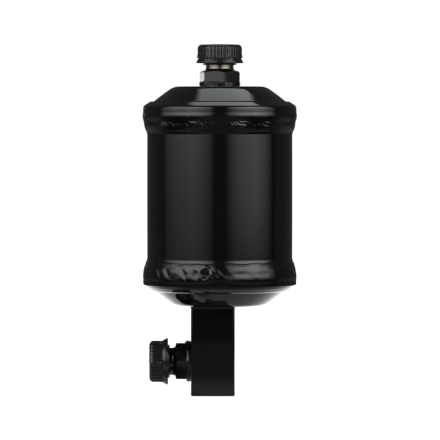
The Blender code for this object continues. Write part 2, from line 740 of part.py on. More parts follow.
def outlet_screen(z, material):
    """Strainer cup with a brim that lies on the lower head round the outlet hole."""
    cup = SCREEN_CUP_DIAMETER / 2
    wall = SCREEN_THICKNESS
    outline = [
        (cup + SCREEN_BRIM_WIDTH, 0.0),
        (cup + SCREEN_BRIM_WIDTH, wall),
        (cup, wall),
        (cup, SCREEN_CUP_HEIGHT - wall),
        (cup - wall, SCREEN_CUP_HEIGHT),
        (0.0, SCREEN_CUP_HEIGHT),
        (0.0, SCREEN_CUP_HEIGHT - wall),
        (cup - 1.6 * wall, SCREEN_CUP_HEIGHT - wall),
        (cup - wall, SCREEN_CUP_HEIGHT - 1.6 * wall),
        (cup - wall, 0.0),
    ]
    screen = turned("outlet_screen", outline, ORING_SEGMENTS, material)
    screen.location.z = z
    slot_low = (SCREEN_CUP_HEIGHT - SCREEN_SLOT_HEIGHT) / 2
    bm = bmesh.new()
    for k in range(SCREEN_SLOTS):
        angle = 2 * math.pi * (k + 0.5) / SCREEN_SLOTS
        outward = Vector((math.cos(angle), math.sin(angle), 0.0))
        across = Vector((-outward.y, outward.x, 0.0)) * SCREEN_SLOT_WIDTH / 2
        rows = []
        for reach in (cup - 3 * wall, cup + 2 * wall):
            low = outward * reach + Vector((0.0, 0.0, slot_low))
            high = low + Vector((0.0, 0.0, SCREEN_SLOT_HEIGHT))
            rows.append(add_loop(bm, [low - across, low + across, high + across, high - across]))
        bridge(bm, rows[0], rows[1])
        bm.faces.new(rows[0])
        bm.faces.new(rows[1])
    combine(screen, object_from("outlet_screen_slots", bm, material), "DIFFERENCE")
    return screen


def build_drying_bed(materials):
    """Everything inside the canister, stacked from the lower head's shoulder to the upper crown."""
    perforated_plate("lower_plate", LOWER_PLATE_Z, materials["plate"])
    filter_pad("lower_pad", LOWER_PAD_Z, materials["pad"])
    desiccant_core(CORE_Z, materials["desiccant"])
    filter_pad("upper_pad", UPPER_PAD_Z, materials["pad"])
    perforated_plate("upper_plate", UPPER_PLATE_Z, materials["plate"])
    compression_spring(SPRING_Z, materials["spring"])
    outlet_screen(LOWER_CROWN_Z + HEAD_WALL + CONTACT_GAP, materials["plate"])


def main():
    clear_scene()
    materials = {
        "paint": make_material("black_paint", (0.012, 0.012, 0.013), 0.12, 0.0),
        "plastic": make_material("black_plastic", (0.02, 0.02, 0.021), 0.35, 0.0),
        "rubber": make_material("seal_rubber", (0.015, 0.015, 0.015), 0.7, 0.0),
        "plate": make_material("plate_steel", (0.55, 0.55, 0.54), 0.35, 1.0),
        "spring": make_material("spring_steel", (0.42, 0.42, 0.43), 0.3, 1.0),
        "pad": make_material("filter_felt", (0.82, 0.8, 0.74), 0.95, 0.0),
        "desiccant": make_material("moulded_desiccant", (0.72, 0.66, 0.56), 0.9, 0.0),
    }
    build_canister(materials["paint"])
    outlet_block(materials["paint"])
    outlet_block_weld(materials["paint"])
    build_port(
        "inlet",
        (0.0, 0.0, UPPER_CROWN_Z + CONTACT_GAP),
        0.0,
        INLET_FITTING_TURN,
        INLET_CAP_TURN,
        materials,
    )
    build_port(
        "outlet",
        (BLOCK_SIDE_X - CONTACT_GAP, 0.0, PORT_HEIGHT),
        -math.pi / 2,
        OUTLET_FITTING_TURN,
        OUTLET_CAP_TURN,
        materials,
    )
    build_drying_bed(materials)


main()
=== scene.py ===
"""Looks of the filter drier: black enamel over drawn steel, weld beads, ports and caps."""

import math

import bmesh
import bpy
import numpy as np
from mathutils import Matrix, Vector, noise


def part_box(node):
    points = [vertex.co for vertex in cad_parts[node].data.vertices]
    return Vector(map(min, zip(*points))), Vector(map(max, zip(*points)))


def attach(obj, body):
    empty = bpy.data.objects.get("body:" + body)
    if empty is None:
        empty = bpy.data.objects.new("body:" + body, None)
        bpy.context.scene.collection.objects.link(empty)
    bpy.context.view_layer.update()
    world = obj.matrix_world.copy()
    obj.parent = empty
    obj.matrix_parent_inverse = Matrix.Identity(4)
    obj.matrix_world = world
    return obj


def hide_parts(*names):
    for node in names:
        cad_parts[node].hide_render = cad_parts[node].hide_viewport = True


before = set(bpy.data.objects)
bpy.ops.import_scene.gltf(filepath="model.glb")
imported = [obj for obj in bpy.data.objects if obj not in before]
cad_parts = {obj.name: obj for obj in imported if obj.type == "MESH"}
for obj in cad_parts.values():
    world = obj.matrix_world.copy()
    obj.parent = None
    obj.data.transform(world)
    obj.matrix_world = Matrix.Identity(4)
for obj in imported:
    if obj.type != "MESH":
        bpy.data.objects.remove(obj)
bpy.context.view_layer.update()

MM = 0.001
FULL_TURN = 2 * math.pi

# Places and sizes that the frame gives
UPPER_CROWN_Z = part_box("upper_head")[1].z
LOWER_CROWN_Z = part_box("lower_head")[0].z
SKIRT_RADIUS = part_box("upper_head")[1].x
BEAD_CREST_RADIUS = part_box("upper_weld")[1].x
SKIRT_DEPTH = UPPER_CROWN_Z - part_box("upper_head")[0].z
TUBE_LOW, TUBE_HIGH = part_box("shell_tube")
TUBE_RADIUS = TUBE_HIGH.x
BLOCK_LOW, BLOCK_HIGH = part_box("outlet_block")
INLET_SEAT_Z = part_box("inlet_fitting_weld")[0].z
OUTLET_SEAT_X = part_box("outlet_fitting_weld")[1].x
PORT_HEIGHT = sum(corner.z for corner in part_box("outlet_fitting_weld")) / 2
CAP_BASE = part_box("inlet_cap")[0].z - INLET_SEAT_Z

# Drawn heads: tangent arcs (radius, slope at the end) and straights (length) from the crown's
# rim to the skirt. A negative radius bends upwards.
HEAD_CHAIN = (
    ("arc", 10.4 * MM, math.radians(34.8)),
    ("arc", 154.2 * MM, math.radians(39.0)),
    ("arc", -2.5 * MM, 0.0),
    ("straight", 0.45 * MM),
    ("arc", 2.6 * MM, math.radians(34.0)),
    ("straight", 3.22 * MM),
    ("arc", 2.6 * MM, math.radians(90.0)),
)
HEAD_WALL = 2.25 * MM
HEAD_HOLE_RADIUS = 6.8 * MM
SKIRT_MELT_START = 15.7 * MM
SKIRT_MELT_DROP = 0.7 * MM
SKIRT_MELT_LEAD = 0.04 * MM
SHELL_WALL = 2.0 * MM
SHELL_SEGMENTS = 256

# Weld beads round the shell
BEAD_SEGMENTS = 1200
BEAD_ROOT_CLEARANCE = 0.02 * MM

# Port fittings, on their own axis with the seat at z = 0
SPIGOT_RADIUS = 6.5 * MM
SPIGOT_LENGTH = 4.05 * MM
SPIGOT_CHAMFER = 0.3 * MM
PASSAGE_RADIUS = 3.5 * MM
ROOT_RADIUS = 12.1 * MM
ROOT_DEPTH = 0.27 * MM
ROOT_CLEARANCE = 0.02 * MM
COLLAR_RADIUS = 10.8 * MM
COLLAR_HEIGHT = 1.9 * MM
HEX_ACROSS_FLATS = 22.2 * MM
HEX_LENGTH = 7.3 * MM
HEX_CORNER_SHARPNESS = 60
HEX_CHAMFER_RADIUS = 10.85 * MM
HEX_CHAMFER_SLOPE = math.radians(32)
HEX_LOWER_CHAMFER = 0.35
FOOT_BEAD_RADIUS = 12.7 * MM
THREAD_RADIUS = 8.73 * MM
THREAD_PITCH = 1.5875 * MM
THREAD_DEPTH = 0.9 * MM
NECK_LENGTH = 11.3 * MM
NECK_RELIEF_RADIUS = 8.45 * MM
NECK_RELIEF_LENGTH = 4.4 * MM
NECK_FILLET = 1.9 * MM
NECK_CHAMFER = 0.9 * MM
ORING_SECTION = 1.78 * MM
ORING_MEAN_RADIUS = 5.7 * MM
ORING_GROOVE_DEPTH = 1.35 * MM
SEAL_CLEARANCE = 0.3 * MM
SEAL_THICKNESS = 1.5 * MM
FITTING_SEGMENTS = 288
ROWS_PER_THREAD = 12

# Caps, on the same axis
CAP_LENGTH = 12.85 * MM
CAP_END_WALL = 2.2 * MM
CAP_COLLAR_RADIUS = 10.3 * MM
CAP_COLLAR_HEIGHT = 1.0 * MM
CAP_FLANGE_RADIUS = 14.3 * MM
CAP_FLANGE_EDGE_HEIGHT = 1.5 * MM
CAP_FLARE_RADIUS = 13.75 * MM
CAP_FLARE_LEAN = 0.55 * MM
CAP_FLARE_HEIGHT = 3.3 * MM
CAP_ACROSS_FLATS = 24.5 * MM
CAP_SIDE_BULGE = 0.45 * MM
CAP_CORNER_RADIUS = 3.5 * MM
CAP_EDGE_RADIUS = 2.5 * MM
CAP_FILLET = 0.3 * MM
CAP_FLANGE_ROUND = 0.4 * MM
CAP_CROWN = 0.25 * MM
CAP_RIBS = 36
CAP_RIB_DEPTH = 0.22 * MM
CAP_RIB_VALLEY = 0.22
CAP_GUSSET_HEIGHT = 2.6 * MM
CAP_GUSSET_REACH = 0.5 * MM
CAP_GUSSET_HALF_WIDTH = 1.0 * MM
CAP_BORE_RADIUS = 9.03 * MM
CAP_THREAD_CREST = 8.55 * MM
CAP_SEGMENTS = 432

# How far each hex piece is turned about its own axis
INLET_FITTING_TURN = math.radians(44.0)
INLET_CAP_TURN = math.radians(54.0)
OUTLET_FITTING_TURN = math.radians(35.0)
OUTLET_CAP_TURN = math.radians(30.0)

# Connection block
BLOCK_EDGE_RADIUS = 1.0 * MM
BLOCK_WELD_LEG = 1.3 * MM
BLOCK_CORNER_STEPS = 8
BLOCK_LEAST_RADIUS = 0.05 * MM
DRILL_TIP_BELOW_PORT = 3.0 * MM

INLET_FRAME = Matrix.Translation((0.0, 0.0, INLET_SEAT_Z))
OUTLET_FRAME = Matrix.Translation((OUTLET_SEAT_X, 0.0, PORT_HEIGHT)) @ Matrix.Rotation(-math.pi / 2, 4, "Y")
UPPER_FRAME = Matrix.Translation((0.0, 0.0, UPPER_CROWN_Z))
LOWER_FRAME = Matrix.Translation((0.0, 0.0, LOWER_CROWN_Z)) @ Matrix.Rotation(math.pi, 4, "X")


class Graph:
    """A node material that is filled node by node."""

    def __init__(self, name):
        self.material = bpy.data.materials.new(name)
        self.material.use_nodes = True
        self.tree = self.material.node_tree
        self.shader = self.tree.nodes["Principled BSDF"]
        self.output = self.tree.nodes["Material Output"]

    def add(self, kind, inputs=None, **settings):
        """A new node. An input is a value, or the output socket that feeds it."""
        node = self.tree.nodes.new(kind)
        for key, value in settings.items():
            setattr(node, key, value)
        self.feed(node, inputs or {})
        return node

    def feed(self, node, inputs):
        for key, value in inputs.items():
            if isinstance(value, bpy.types.NodeSocket):
                self.tree.links.new(value, node.inputs[key])
            else:
                node.inputs[key].default_value = value

    def place(self):
        return self.add("ShaderNodeTexCoord").outputs["Object"]

    def mottle(self, size, detail=2.0, stretch=None):
        """Noise with features of about a size in metres, drawn out along an axis if a stretch is given."""
        place = self.place()
        if stretch:
            place = self.add("ShaderNodeMapping", {"Vector": place, "Scale": stretch}).outputs[0]
        grain = self.add("ShaderNodeTexNoise", {"Vector": place, "Scale": 1 / size, "Detail": detail})
        return grain.outputs["Fac"]

    def spread(self, value, low, high, start=0.3, end=0.7):
        """Maps a value to a range."""
        limits = {"From Min": start, "From Max": end, "To Min": low, "To Max": high}
        return self.add("ShaderNodeMapRange", {"Value": value, **limits}).outputs[0]

    def ease(self, value, low, high, start, end):
        """Maps a value to a range along a smooth step."""
        limits = {"From Min": start, "From Max": end, "To Min": low, "To Max": high}
        eased = self.add("ShaderNodeMapRange", {"Value": value, **limits}, interpolation_type="SMOOTHSTEP")
        return eased.outputs[0]

    def math(self, operation, *values):
        return self.add("ShaderNodeMath", dict(enumerate(values)), operation=operation).outputs[0]

    def ramp(self, value, stops):
        """Level that follows stops (value, level) in straight runs."""
        lowest, highest = stops[0][0], stops[-1][0]
        brightest = max(level for _, level in stops)
        share = self.spread(value, 0.0, 1.0, lowest, highest)
        node = self.add("ShaderNodeValToRGB", {"Fac": share})
        elements = node.color_ramp.elements
        for position, _ in stops[1:-1]:
            elements.new((position - lowest) / (highest - lowest))
        for element, (_, level) in zip(elements, stops):
            element.color = (*[level / brightest] * 3, 1.0)
        return self.math("MULTIPLY", node.outputs["Color"], brightest)

    def blend(self, share, first, second):
        """A colour between two others."""
        mix = self.add("ShaderNodeMix", data_type="RGBA")
        self.feed(mix, {"Factor": share, 6: (*first, 1.0), 7: (*second, 1.0)})
        return mix.outputs[2]

    def bump(self, height, distance, strength=1.0, base=None):
        inputs = {"Height": height, "Distance": distance, "Strength": strength}
        if base:
            inputs["Normal"] = base
        return self.add("ShaderNodeBump", inputs).outputs[0]


def black_enamel():
    """Gloss stoving enamel with a faint orange peel."""
    graph = Graph("black_enamel")
    peel = graph.bump(graph.mottle(2.2 * MM), 0.006 * MM)
    sag = graph.bump(graph.mottle(11 * MM, 1.0), 0.02 * MM, base=peel)
    haze = graph.mottle(16 * MM, 4.0)
    graph.feed(graph.shader, {
        "Base Color": graph.blend(haze, (0.0022, 0.0023, 0.0024), (0.0035, 0.0035, 0.0036)),
        "Roughness": graph.spread(haze, 0.035, 0.085),
        "IOR": 1.5,
        "Normal": sag,
    })
    return graph.material


def weld_enamel():
    """The same enamel over a bead: rougher, with a mottled tone and small pores."""
    graph = Graph("weld_enamel")
    grit = graph.bump(graph.mottle(0.9 * MM, 3.0), 0.035 * MM)
    haze = graph.mottle(5 * MM, 3.0)
    graph.feed(graph.shader, {
        "Base Color": graph.blend(haze, (0.0018, 0.0019, 0.002), (0.0034, 0.0034, 0.0036)),
        "Roughness": graph.spread(haze, 0.07, 0.18),
        "IOR": 1.5,
        "Normal": grit,
    })
    return graph.material


def bare_neck():
    """Turned steel of the inlet's neck, masked from the paint."""
    graph = Graph("turned_steel")
    lines = graph.mottle(6 * MM, 2.0, (0.2, 0.2, 60.0))
    stain = graph.mottle(3 * MM, 3.0)
    graph.feed(graph.shader, {
        "Base Color": graph.blend(stain, (0.17, 0.15, 0.13), (0.24, 0.22, 0.2)),
        "Metallic": 1.0,
        "Roughness": graph.spread(stain, 0.2, 0.3),
        "Normal": graph.bump(lines, 0.004 * MM),
    })
    return graph.material


def cap_plastic():
    """Moulded black plastic, slightly scuffed."""
    graph = Graph("moulded_plastic")
    grain = graph.bump(graph.mottle(0.35 * MM, 3.0), 0.01 * MM)
    scuff = graph.mottle(3.5 * MM, 5.0)
    graph.feed(graph.shader, {
        "Base Color": graph.blend(scuff, (0.006, 0.0056, 0.0055), (0.012, 0.011, 0.0108)),
        "Roughness": graph.spread(scuff, 0.13, 0.22),
        "IOR": 1.5,
        "Normal": grain,
    })
    return graph.material


def dull_material(name, colour, other, roughness, grain_size, grain_height, metallic=0.0, stretch=None):
    """Rubber, felt, desiccant and mill-finish steel: two tones, a grain and an even sheen."""
    graph = Graph(name)
    tone = graph.mottle(4 * grain_size, 3.0, stretch)
    graph.feed(graph.shader, {
        "Base Color": graph.blend(tone, colour, other),
        "Metallic": metallic,
        "Roughness": graph.spread(tone, roughness - 0.06, roughness + 0.06),
        "Normal": graph.bump(graph.mottle(grain_size, 3.0, stretch), grain_height),
    })
    return graph.material


def arc(centre, radius, start, end, steps):
    """Points (r, z) on an arc from one angle to another, both ends included."""
    angles = [start + (end - start) * i / steps for i in range(steps + 1)]
    return [(centre[0] + radius * math.cos(a), centre[1] + radius * math.sin(a)) for a in angles]


def skin(name, grid, material, close_rows=False, sharp_angle=35.0):
    """A closed mesh over rows of points that run round an axis. A row drawn into one point is a pole."""
    rows, columns = grid.shape[:2]
    index = np.arange(rows * columns).reshape(rows, columns)
    if close_rows:
        index = np.vstack((index, index[:1]))
    index = np.hstack((index, index[:, :1]))
    faces = np.stack((index[:-1, :-1], index[:-1, 1:], index[1:, 1:], index[1:, :-1]), axis=-1)
    mesh = bpy.data.meshes.new(name)
    mesh.from_pydata(grid.reshape(-1, 3).tolist(), [], faces.reshape(-1, 4).tolist())
    bm = bmesh.new()
    bm.from_mesh(mesh)
    bmesh.ops.remove_doubles(bm, verts=bm.verts, dist=1e-7)
    bmesh.ops.recalc_face_normals(bm, faces=bm.faces)
    bm.to_mesh(mesh)
    bm.free()
    mesh.shade_smooth()
    mesh.set_sharp_from_angle(angle=math.radians(sharp_angle))
    mesh.materials.append(material)
    obj = bpy.data.objects.new(name, mesh)
    bpy.context.scene.collection.objects.link(obj)
    return obj


def ring_angles(columns):
    return np.arange(columns) * FULL_TURN / columns


def around(radius, z):
    """Grid of points from arrays of radii and heights, whose columns run round Z."""
    angles = ring_angles(radius.shape[1])
    return np.stack((radius * np.cos(angles), radius * np.sin(angles), z), axis=-1)


def turned(name, profile, columns, material, close_rows=True, sharp_angle=35.0):
    """Revolves an outline of (r, z) points about Z."""
    outline = np.array(profile)
    radius = np.repeat(outline[:, :1], columns, axis=1)
    height = np.repeat(outline[:, 1:], columns, axis=1)
    return skin(name, around(radius, height), material, close_rows, sharp_angle)


def ring_noise(angles, heights, radius, size, seed):
    """Smooth noise on a cylinder, about -1 to 1, as a grid over heights and angles."""
    grid = np.empty((len(heights), len(angles)))
    for k, angle in enumerate(angles):
        x = radius * math.cos(angle) / size + seed
        y = radius * math.sin(angle) / size
        for i, height in enumerate(heights):
            grid[i, k] = noise.noise(Vector((x, y, height / size)))
    return 1.6 * grid


def put(obj, placement, body, slot, *nodes):
    """Places a finished piece, lets it ride on its body and stand for its nodes."""
    obj.matrix_world = placement
    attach(obj, body)
    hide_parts(*nodes)
    return obj


def head_surface(offset, steps):
    """Half profile of a head from the crown to the shoulder's end, moved inwards by an offset.

    Z is measured from the crown's outer face and runs downwards. The chain is shifted so
    that it ends at the skirt.
    """
    radius, z, slope = 0.0, 0.0, 0.0
    points = [(0.0, -offset)]
    for kind, size, *end_slope in HEAD_CHAIN:
        if kind == "straight":
            radius += size * math.cos(slope)
            z -= size * math.sin(slope)
            points.append((radius - offset * math.sin(slope), z - offset * math.cos(slope)))
            continue
        centre = (radius - size * math.sin(slope), z - size * math.cos(slope))
        first, last = math.pi / 2 - slope, math.pi / 2 - end_slope[0]
        points += arc(centre, size - offset, first, last, steps)[1:]
        radius, z = arc(centre, size, first, last, 1)[-1]
        slope = end_slope[0]
    shift = SKIRT_RADIUS - radius
    return [(r + shift, height) for r, height in points]


def drawn_head(name, material):
    """Pressed head whose skirt is melted thin where the bead runs over it."""
    skirt_bore = SKIRT_RADIUS - HEAD_WALL
    melt = arc(
        (SKIRT_RADIUS - SKIRT_MELT_DROP, -SKIRT_MELT_START),
        SKIRT_MELT_DROP,
        0.0,
        -math.pi / 2,
        4,
    )
    above_melt = (SKIRT_RADIUS, -SKIRT_MELT_START + SKIRT_MELT_LEAD)
    outer = [(HEAD_HOLE_RADIUS, 0.0)] + head_surface(0.0, 12) + [above_melt] + melt
    edge = [(SKIRT_RADIUS - SKIRT_MELT_DROP, -SKIRT_DEPTH), (skirt_bore, -SKIRT_DEPTH)]
    inner = [(HEAD_HOLE_RADIUS, -HEAD_WALL)] + head_surface(HEAD_WALL, 6)
    return turned(name, outer + edge + inner[::-1], SHELL_SEGMENTS, material)


def build_shell(enamel):
    """The tube and its two heads."""
    bore = TUBE_RADIUS - SHELL_WALL
    outline = [
        (TUBE_RADIUS, TUBE_LOW.z),
        (TUBE_RADIUS, TUBE_HIGH.z),
        (bore, TUBE_HIGH.z),
        (bore, TUBE_LOW.z),
    ]
    tube = turned("shell_body", outline, SHELL_SEGMENTS, enamel)
    put(tube, Matrix.Identity(4), "canister", "black_paint", "shell_tube")
    for side, placement in (("upper", UPPER_FRAME), ("lower", LOWER_FRAME)):
        head = drawn_head(f"{side}_pressing", enamel)
        put(head, placement, "canister", "black_paint", f"{side}_head")


def profile_radius(heights, knots):
    """Radius of a bead at each height, eased between knots (height, radius)."""
    knot_heights = [height for height, _ in knots]
    knot_radii = [radius for _, radius in knots]
    fine = np.interp(heights, knot_heights, knot_radii)
    return np.convolve(np.pad(fine, 2, mode="edge"), np.ones(5) / 5, mode="valid")


def bell(distance, width):
    return np.exp(-((distance / width) ** 2))


def wrapped(angles, centre):
    """Angles measured from a centre, from minus half a turn to half a turn."""
    return (angles - centre + math.pi) % FULL_TURN - math.pi


def bead_object(name, heights, radius, material):
    """Closes a bead's outer skin with a root that lies on the tube."""
    root = np.full((2, radius.shape[1]), TUBE_RADIUS + BEAD_ROOT_CLEARANCE)
    root_heights = np.array([heights[-1], heights[0]])
    radius = np.clip(radius, TUBE_RADIUS + 2 * BEAD_ROOT_CLEARANCE, BEAD_CREST_RADIUS)
    grid_radius = np.vstack((radius, root))
    grid_height = np.repeat(np.concatenate((heights, root_heights))[:, None], radius.shape[1], axis=1)
    return skin(name, around(grid_radius, grid_height), material, close_rows=True, sharp_angle=80.0)


FRONT = -math.pi / 2
RIPPLES = 76

# Sections of the two beads: depth from the crown's level, radius
UPPER_BEAD_KNOTS = [
    (15.72 * MM, 46.98 * MM),
    (16.5 * MM, 47.14 * MM),
    (17.6 * MM, 47.3 * MM),
    (19.0 * MM, 47.15 * MM),
    (20.2 * MM, 46.82 * MM),
    (21.4 * MM, 46.5 * MM),
    (22.6 * MM, 46.3 * MM),
    (23.9 * MM, 46.2 * MM),
    (25.3 * MM, 45.9 * MM),
    (26.7 * MM, 45.32 * MM),
    (28.0 * MM, 44.68 * MM),
    (29.0 * MM, 44.46 * MM),
]
LOWER_BEAD_KNOTS = [
    (15.72 * MM, 46.98 * MM),
    (16.8 * MM, 47.05 * MM),
    (17.8 * MM, 47.08 * MM),
    (18.8 * MM, 47.02 * MM),
    (19.7 * MM, 46.87 * MM),
    (20.9 * MM, 46.68 * MM),
    (22.2 * MM, 46.55 * MM),
    (23.4 * MM, 46.35 * MM),
    (24.6 * MM, 45.95 * MM),
    (25.8 * MM, 45.5 * MM),
    (27.1 * MM, 44.95 * MM),
    (28.3 * MM, 44.65 * MM),
    (29.0 * MM, 44.46 * MM),
]
UPPER_BEAD_ROWS = 48
UPPER_CREST_DEPTH = 22.6 * MM
LOWER_BEAD_ROWS = 56
LUMP_DEPTH = 21.4 * MM
TOE_DEPTH = 26.6 * MM
LUMPS = 30
CRATER_ANGLE = FRONT - math.radians(11.2)
CRATER_DEPTH = 21.4 * MM
CRATER_RADIUS = 3.2 * MM
CRATER_NARROWING = 1.25


def upper_bead(material):
    """Even bead with short slanting ripples under its crest."""
    angles = ring_angles(BEAD_SEGMENTS)
    depths = np.linspace(UPPER_BEAD_KNOTS[0][0], UPPER_BEAD_KNOTS[-1][0], UPPER_BEAD_ROWS)
    base = profile_radius(depths, UPPER_BEAD_KNOTS)[:, None]
    level = depths[:, None]
    drift = ring_noise(angles, depths, TUBE_RADIUS, 7 * MM, 3.0)
    coarse = ring_noise(angles, depths, TUBE_RADIUS, 13 * MM, 11.0)
    fine = ring_noise(angles, depths, TUBE_RADIUS, 2.0 * MM, 23.0)
    below_crest = level - UPPER_CREST_DEPTH
    slant = -0.9 * below_crest / (4 * MM)
    phase = angles[None, :] * RIPPLES + FULL_TURN * (slant + 0.9 * drift)
    ripple = (0.5 + 0.5 * np.cos(phase)) ** 1.5
    relief = bell(below_crest, 2.2 * MM) * ripple * (0.12 + 0.4 * coarse) * MM
    relief += 0.07 * MM * fine * bell(below_crest, 4.0 * MM)
    relief += 0.14 * MM * coarse * bell(below_crest, 4.5 * MM)
    sides = bell(wrapped(angles, FRONT + 1.35), 0.4) + bell(wrapped(angles, FRONT - 1.35), 0.4)
    relief = relief * (1 - 0.7 * sides[None, :])
    return bead_object("upper_weld_bead", UPPER_CROWN_Z - depths, base + relief, material)


def lower_bead(material):
    """Lumpy bead with overlapping runs, a smoother stretch and the crater where it was stopped."""
    angles = ring_angles(BEAD_SEGMENTS)
    depths = np.linspace(LOWER_BEAD_KNOTS[0][0], LOWER_BEAD_KNOTS[-1][0], LOWER_BEAD_ROWS)
    base = profile_radius(depths, LOWER_BEAD_KNOTS)[:, None]
    level = depths[:, None]
    drift = ring_noise(angles, depths, TUBE_RADIUS, 9 * MM, 5.0)
    coarse = ring_noise(angles, depths, TUBE_RADIUS, 6 * MM, 17.0)
    fine = ring_noise(angles, depths, TUBE_RADIUS, 2.4 * MM, 29.0)

    from_crater = wrapped(angles, CRATER_ANGLE)
    calm = 1 / (1 + np.exp(-(from_crater - 0.15) * 12)) * bell(np.maximum(from_crater - 0.9, 0.0), 0.35)
    calm = calm[None, :]

    slant = 0.7 * (level - 21.0 * MM) / (7 * MM)
    phase = (angles[None, :] * LUMPS / FULL_TURN + slant + 0.4 * drift) % 1.0
    lump = np.sin(math.pi * phase)
    lump_zone = bell(level - LUMP_DEPTH, 2.9 * MM)
    relief = lump_zone * (0.7 * lump - 0.4) * (1 - 0.92 * calm) * MM
    relief += 0.2 * MM * coarse * lump_zone * (1 - 0.4 * calm)
    relief += 0.03 * MM * fine * bell(level - 22.0 * MM, 5.0 * MM)

    sides = bell(wrapped(angles, FRONT + 1.3), 0.42) + bell(wrapped(angles, FRONT - 1.3), 0.42)
    relief = relief * (1 - 0.8 * sides[None, :])

    toe = TOE_DEPTH + 0.5 * MM * coarse[LOWER_BEAD_ROWS // 2, :]
    relief += 0.3 * MM * bell(level - toe, 0.6 * MM)

    across = from_crater[None, :] * SKIRT_RADIUS
    distance = np.hypot(CRATER_NARROWING * across, level - CRATER_DEPTH)
    right_side = 0.5 + 0.5 * np.tanh(across / (1.2 * MM))
    relief = relief * (1 - bell(distance, 1.3 * CRATER_RADIUS))
    mouth = 0.5 - 0.5 * np.tanh((distance - 0.8 * CRATER_RADIUS) / (0.35 * MM))
    floor_tilt = 1 - 0.8 * (level - CRATER_DEPTH) / CRATER_RADIUS
    relief -= 1.0 * MM * mouth * floor_tilt
    rim = bell(distance - 1.25 * CRATER_RADIUS, 0.7 * MM)
    relief += (0.1 + 0.55 * right_side) * rim * MM
    return bead_object("lower_weld_bead", LOWER_CROWN_Z + depths, base + relief, material)


def hex_radius(angles, turn):
    """Distance to the side of a hexagon with slightly broken corners. Corner 0 is at the turn."""
    total = 0.0
    for k in range(3):
        normal = turn + math.pi / 6 + k * math.pi / 3
        total = total + np.abs(np.cos(angles - normal)) ** HEX_CORNER_SHARPNESS
    return HEX_ACROSS_FLATS / 2 / total ** (1 / HEX_CORNER_SHARPNESS)


def port_fitting(name, turn, material, neck_material):
    """Hex fitting with a spigot, a relieved neck, a cut thread and a face groove."""
    angles = ring_angles(FITTING_SEGMENTS)
    radii = []
    heights = []

    def row(radius, height):
        radii.append(np.zeros(FITTING_SEGMENTS) + radius)
        heights.append(np.zeros(FITTING_SEGMENTS) + height)

    low = COLLAR_HEIGHT
    high = COLLAR_HEIGHT + HEX_LENGTH
    face = high + NECK_LENGTH
    side = hex_radius(angles, turn)
    drop = (side - HEX_CHAMFER_RADIUS) * math.tan(HEX_CHAMFER_SLOPE)

    row(PASSAGE_RADIUS, -SPIGOT_LENGTH)
    row(SPIGOT_RADIUS - SPIGOT_CHAMFER, -SPIGOT_LENGTH)
    row(SPIGOT_RADIUS, -SPIGOT_LENGTH + SPIGOT_CHAMFER)
    row(SPIGOT_RADIUS, -ROOT_DEPTH)
    row(ROOT_RADIUS, -ROOT_DEPTH)
    row(ROOT_RADIUS, -ROOT_CLEARANCE)
    row(COLLAR_RADIUS, -ROOT_CLEARANCE)
    row(COLLAR_RADIUS, low)
    for share in (0.0, 0.5, 1.0):
        row(COLLAR_RADIUS + (side - COLLAR_RADIUS) * share, low + HEX_LOWER_CHAMFER * drop * share)
    for share in np.linspace(0.02, 0.98, 9):
        row(side, low + HEX_LOWER_CHAMFER * drop + (HEX_LENGTH - (1 + HEX_LOWER_CHAMFER) * drop) * share)
    for share in (0.0, 0.34, 0.67, 1.0):
        row(side + (HEX_CHAMFER_RADIUS - side) * share, high - drop * (1 - share))
    first_neck_row = len(radii)
    fillet_centre = (NECK_RELIEF_RADIUS + NECK_FILLET, high + NECK_FILLET)
    for radius, height in arc(fillet_centre, NECK_FILLET, -math.pi / 2, -math.pi, 6):
        row(radius, height)
    run_out = high + NECK_RELIEF_LENGTH
    for height in np.linspace(high + 1.1 * NECK_FILLET, run_out - 0.5 * MM, 5):
        row(NECK_RELIEF_RADIUS, height)
    thread_rows = round((face - run_out) / THREAD_PITCH * ROWS_PER_THREAD)
    for height in np.linspace(run_out, face, thread_rows):
        phase = (height / THREAD_PITCH - angles / FULL_TURN) % 1.0
        valley = np.clip(1.25 - np.abs(2 * phase - 1) * 1.5, 0.0, 1.0)
        fade = min((height - run_out) / THREAD_PITCH, 1.0)
        crest = NECK_RELIEF_RADIUS + (THREAD_RADIUS - NECK_RELIEF_RADIUS) * min(fade * 1.6, 1.0)
        chamfer = THREAD_RADIUS - max(height - (face - NECK_CHAMFER), 0.0)
        row(np.minimum(crest - THREAD_DEPTH * valley * fade, chamfer), height)
    half = ORING_SECTION / 2 + SEAL_CLEARANCE
    floor = face - ORING_GROOVE_DEPTH
    row(ORING_MEAN_RADIUS + half, face)
    row(ORING_MEAN_RADIUS + half, floor)
    row(ORING_MEAN_RADIUS - half, floor)
    row(ORING_MEAN_RADIUS - half, face)
    row(PASSAGE_RADIUS + 0.3 * MM, face)
    row(PASSAGE_RADIUS, face - 0.3 * MM)
    fitting = skin(name, around(np.array(radii), np.array(heights)), material, True, 24.0)
    if neck_material:
        fitting.data.materials.append(neck_material)
        neck_low = heights[first_neck_row][0] + 0.3 * MM
        for polygon in fitting.data.polygons:
            centre = polygon.center
            outside = math.hypot(centre.x, centre.y) > ORING_MEAN_RADIUS
            if centre.z > neck_low and outside:
                polygon.material_index = 1
    return fitting


def smooth_torus(name, mean, section, height, columns, sides, material):
    profile = arc((mean, height), section, 0.0, FULL_TURN, sides)[:-1]
    return turned(name, profile, columns, material, sharp_angle=80.0)


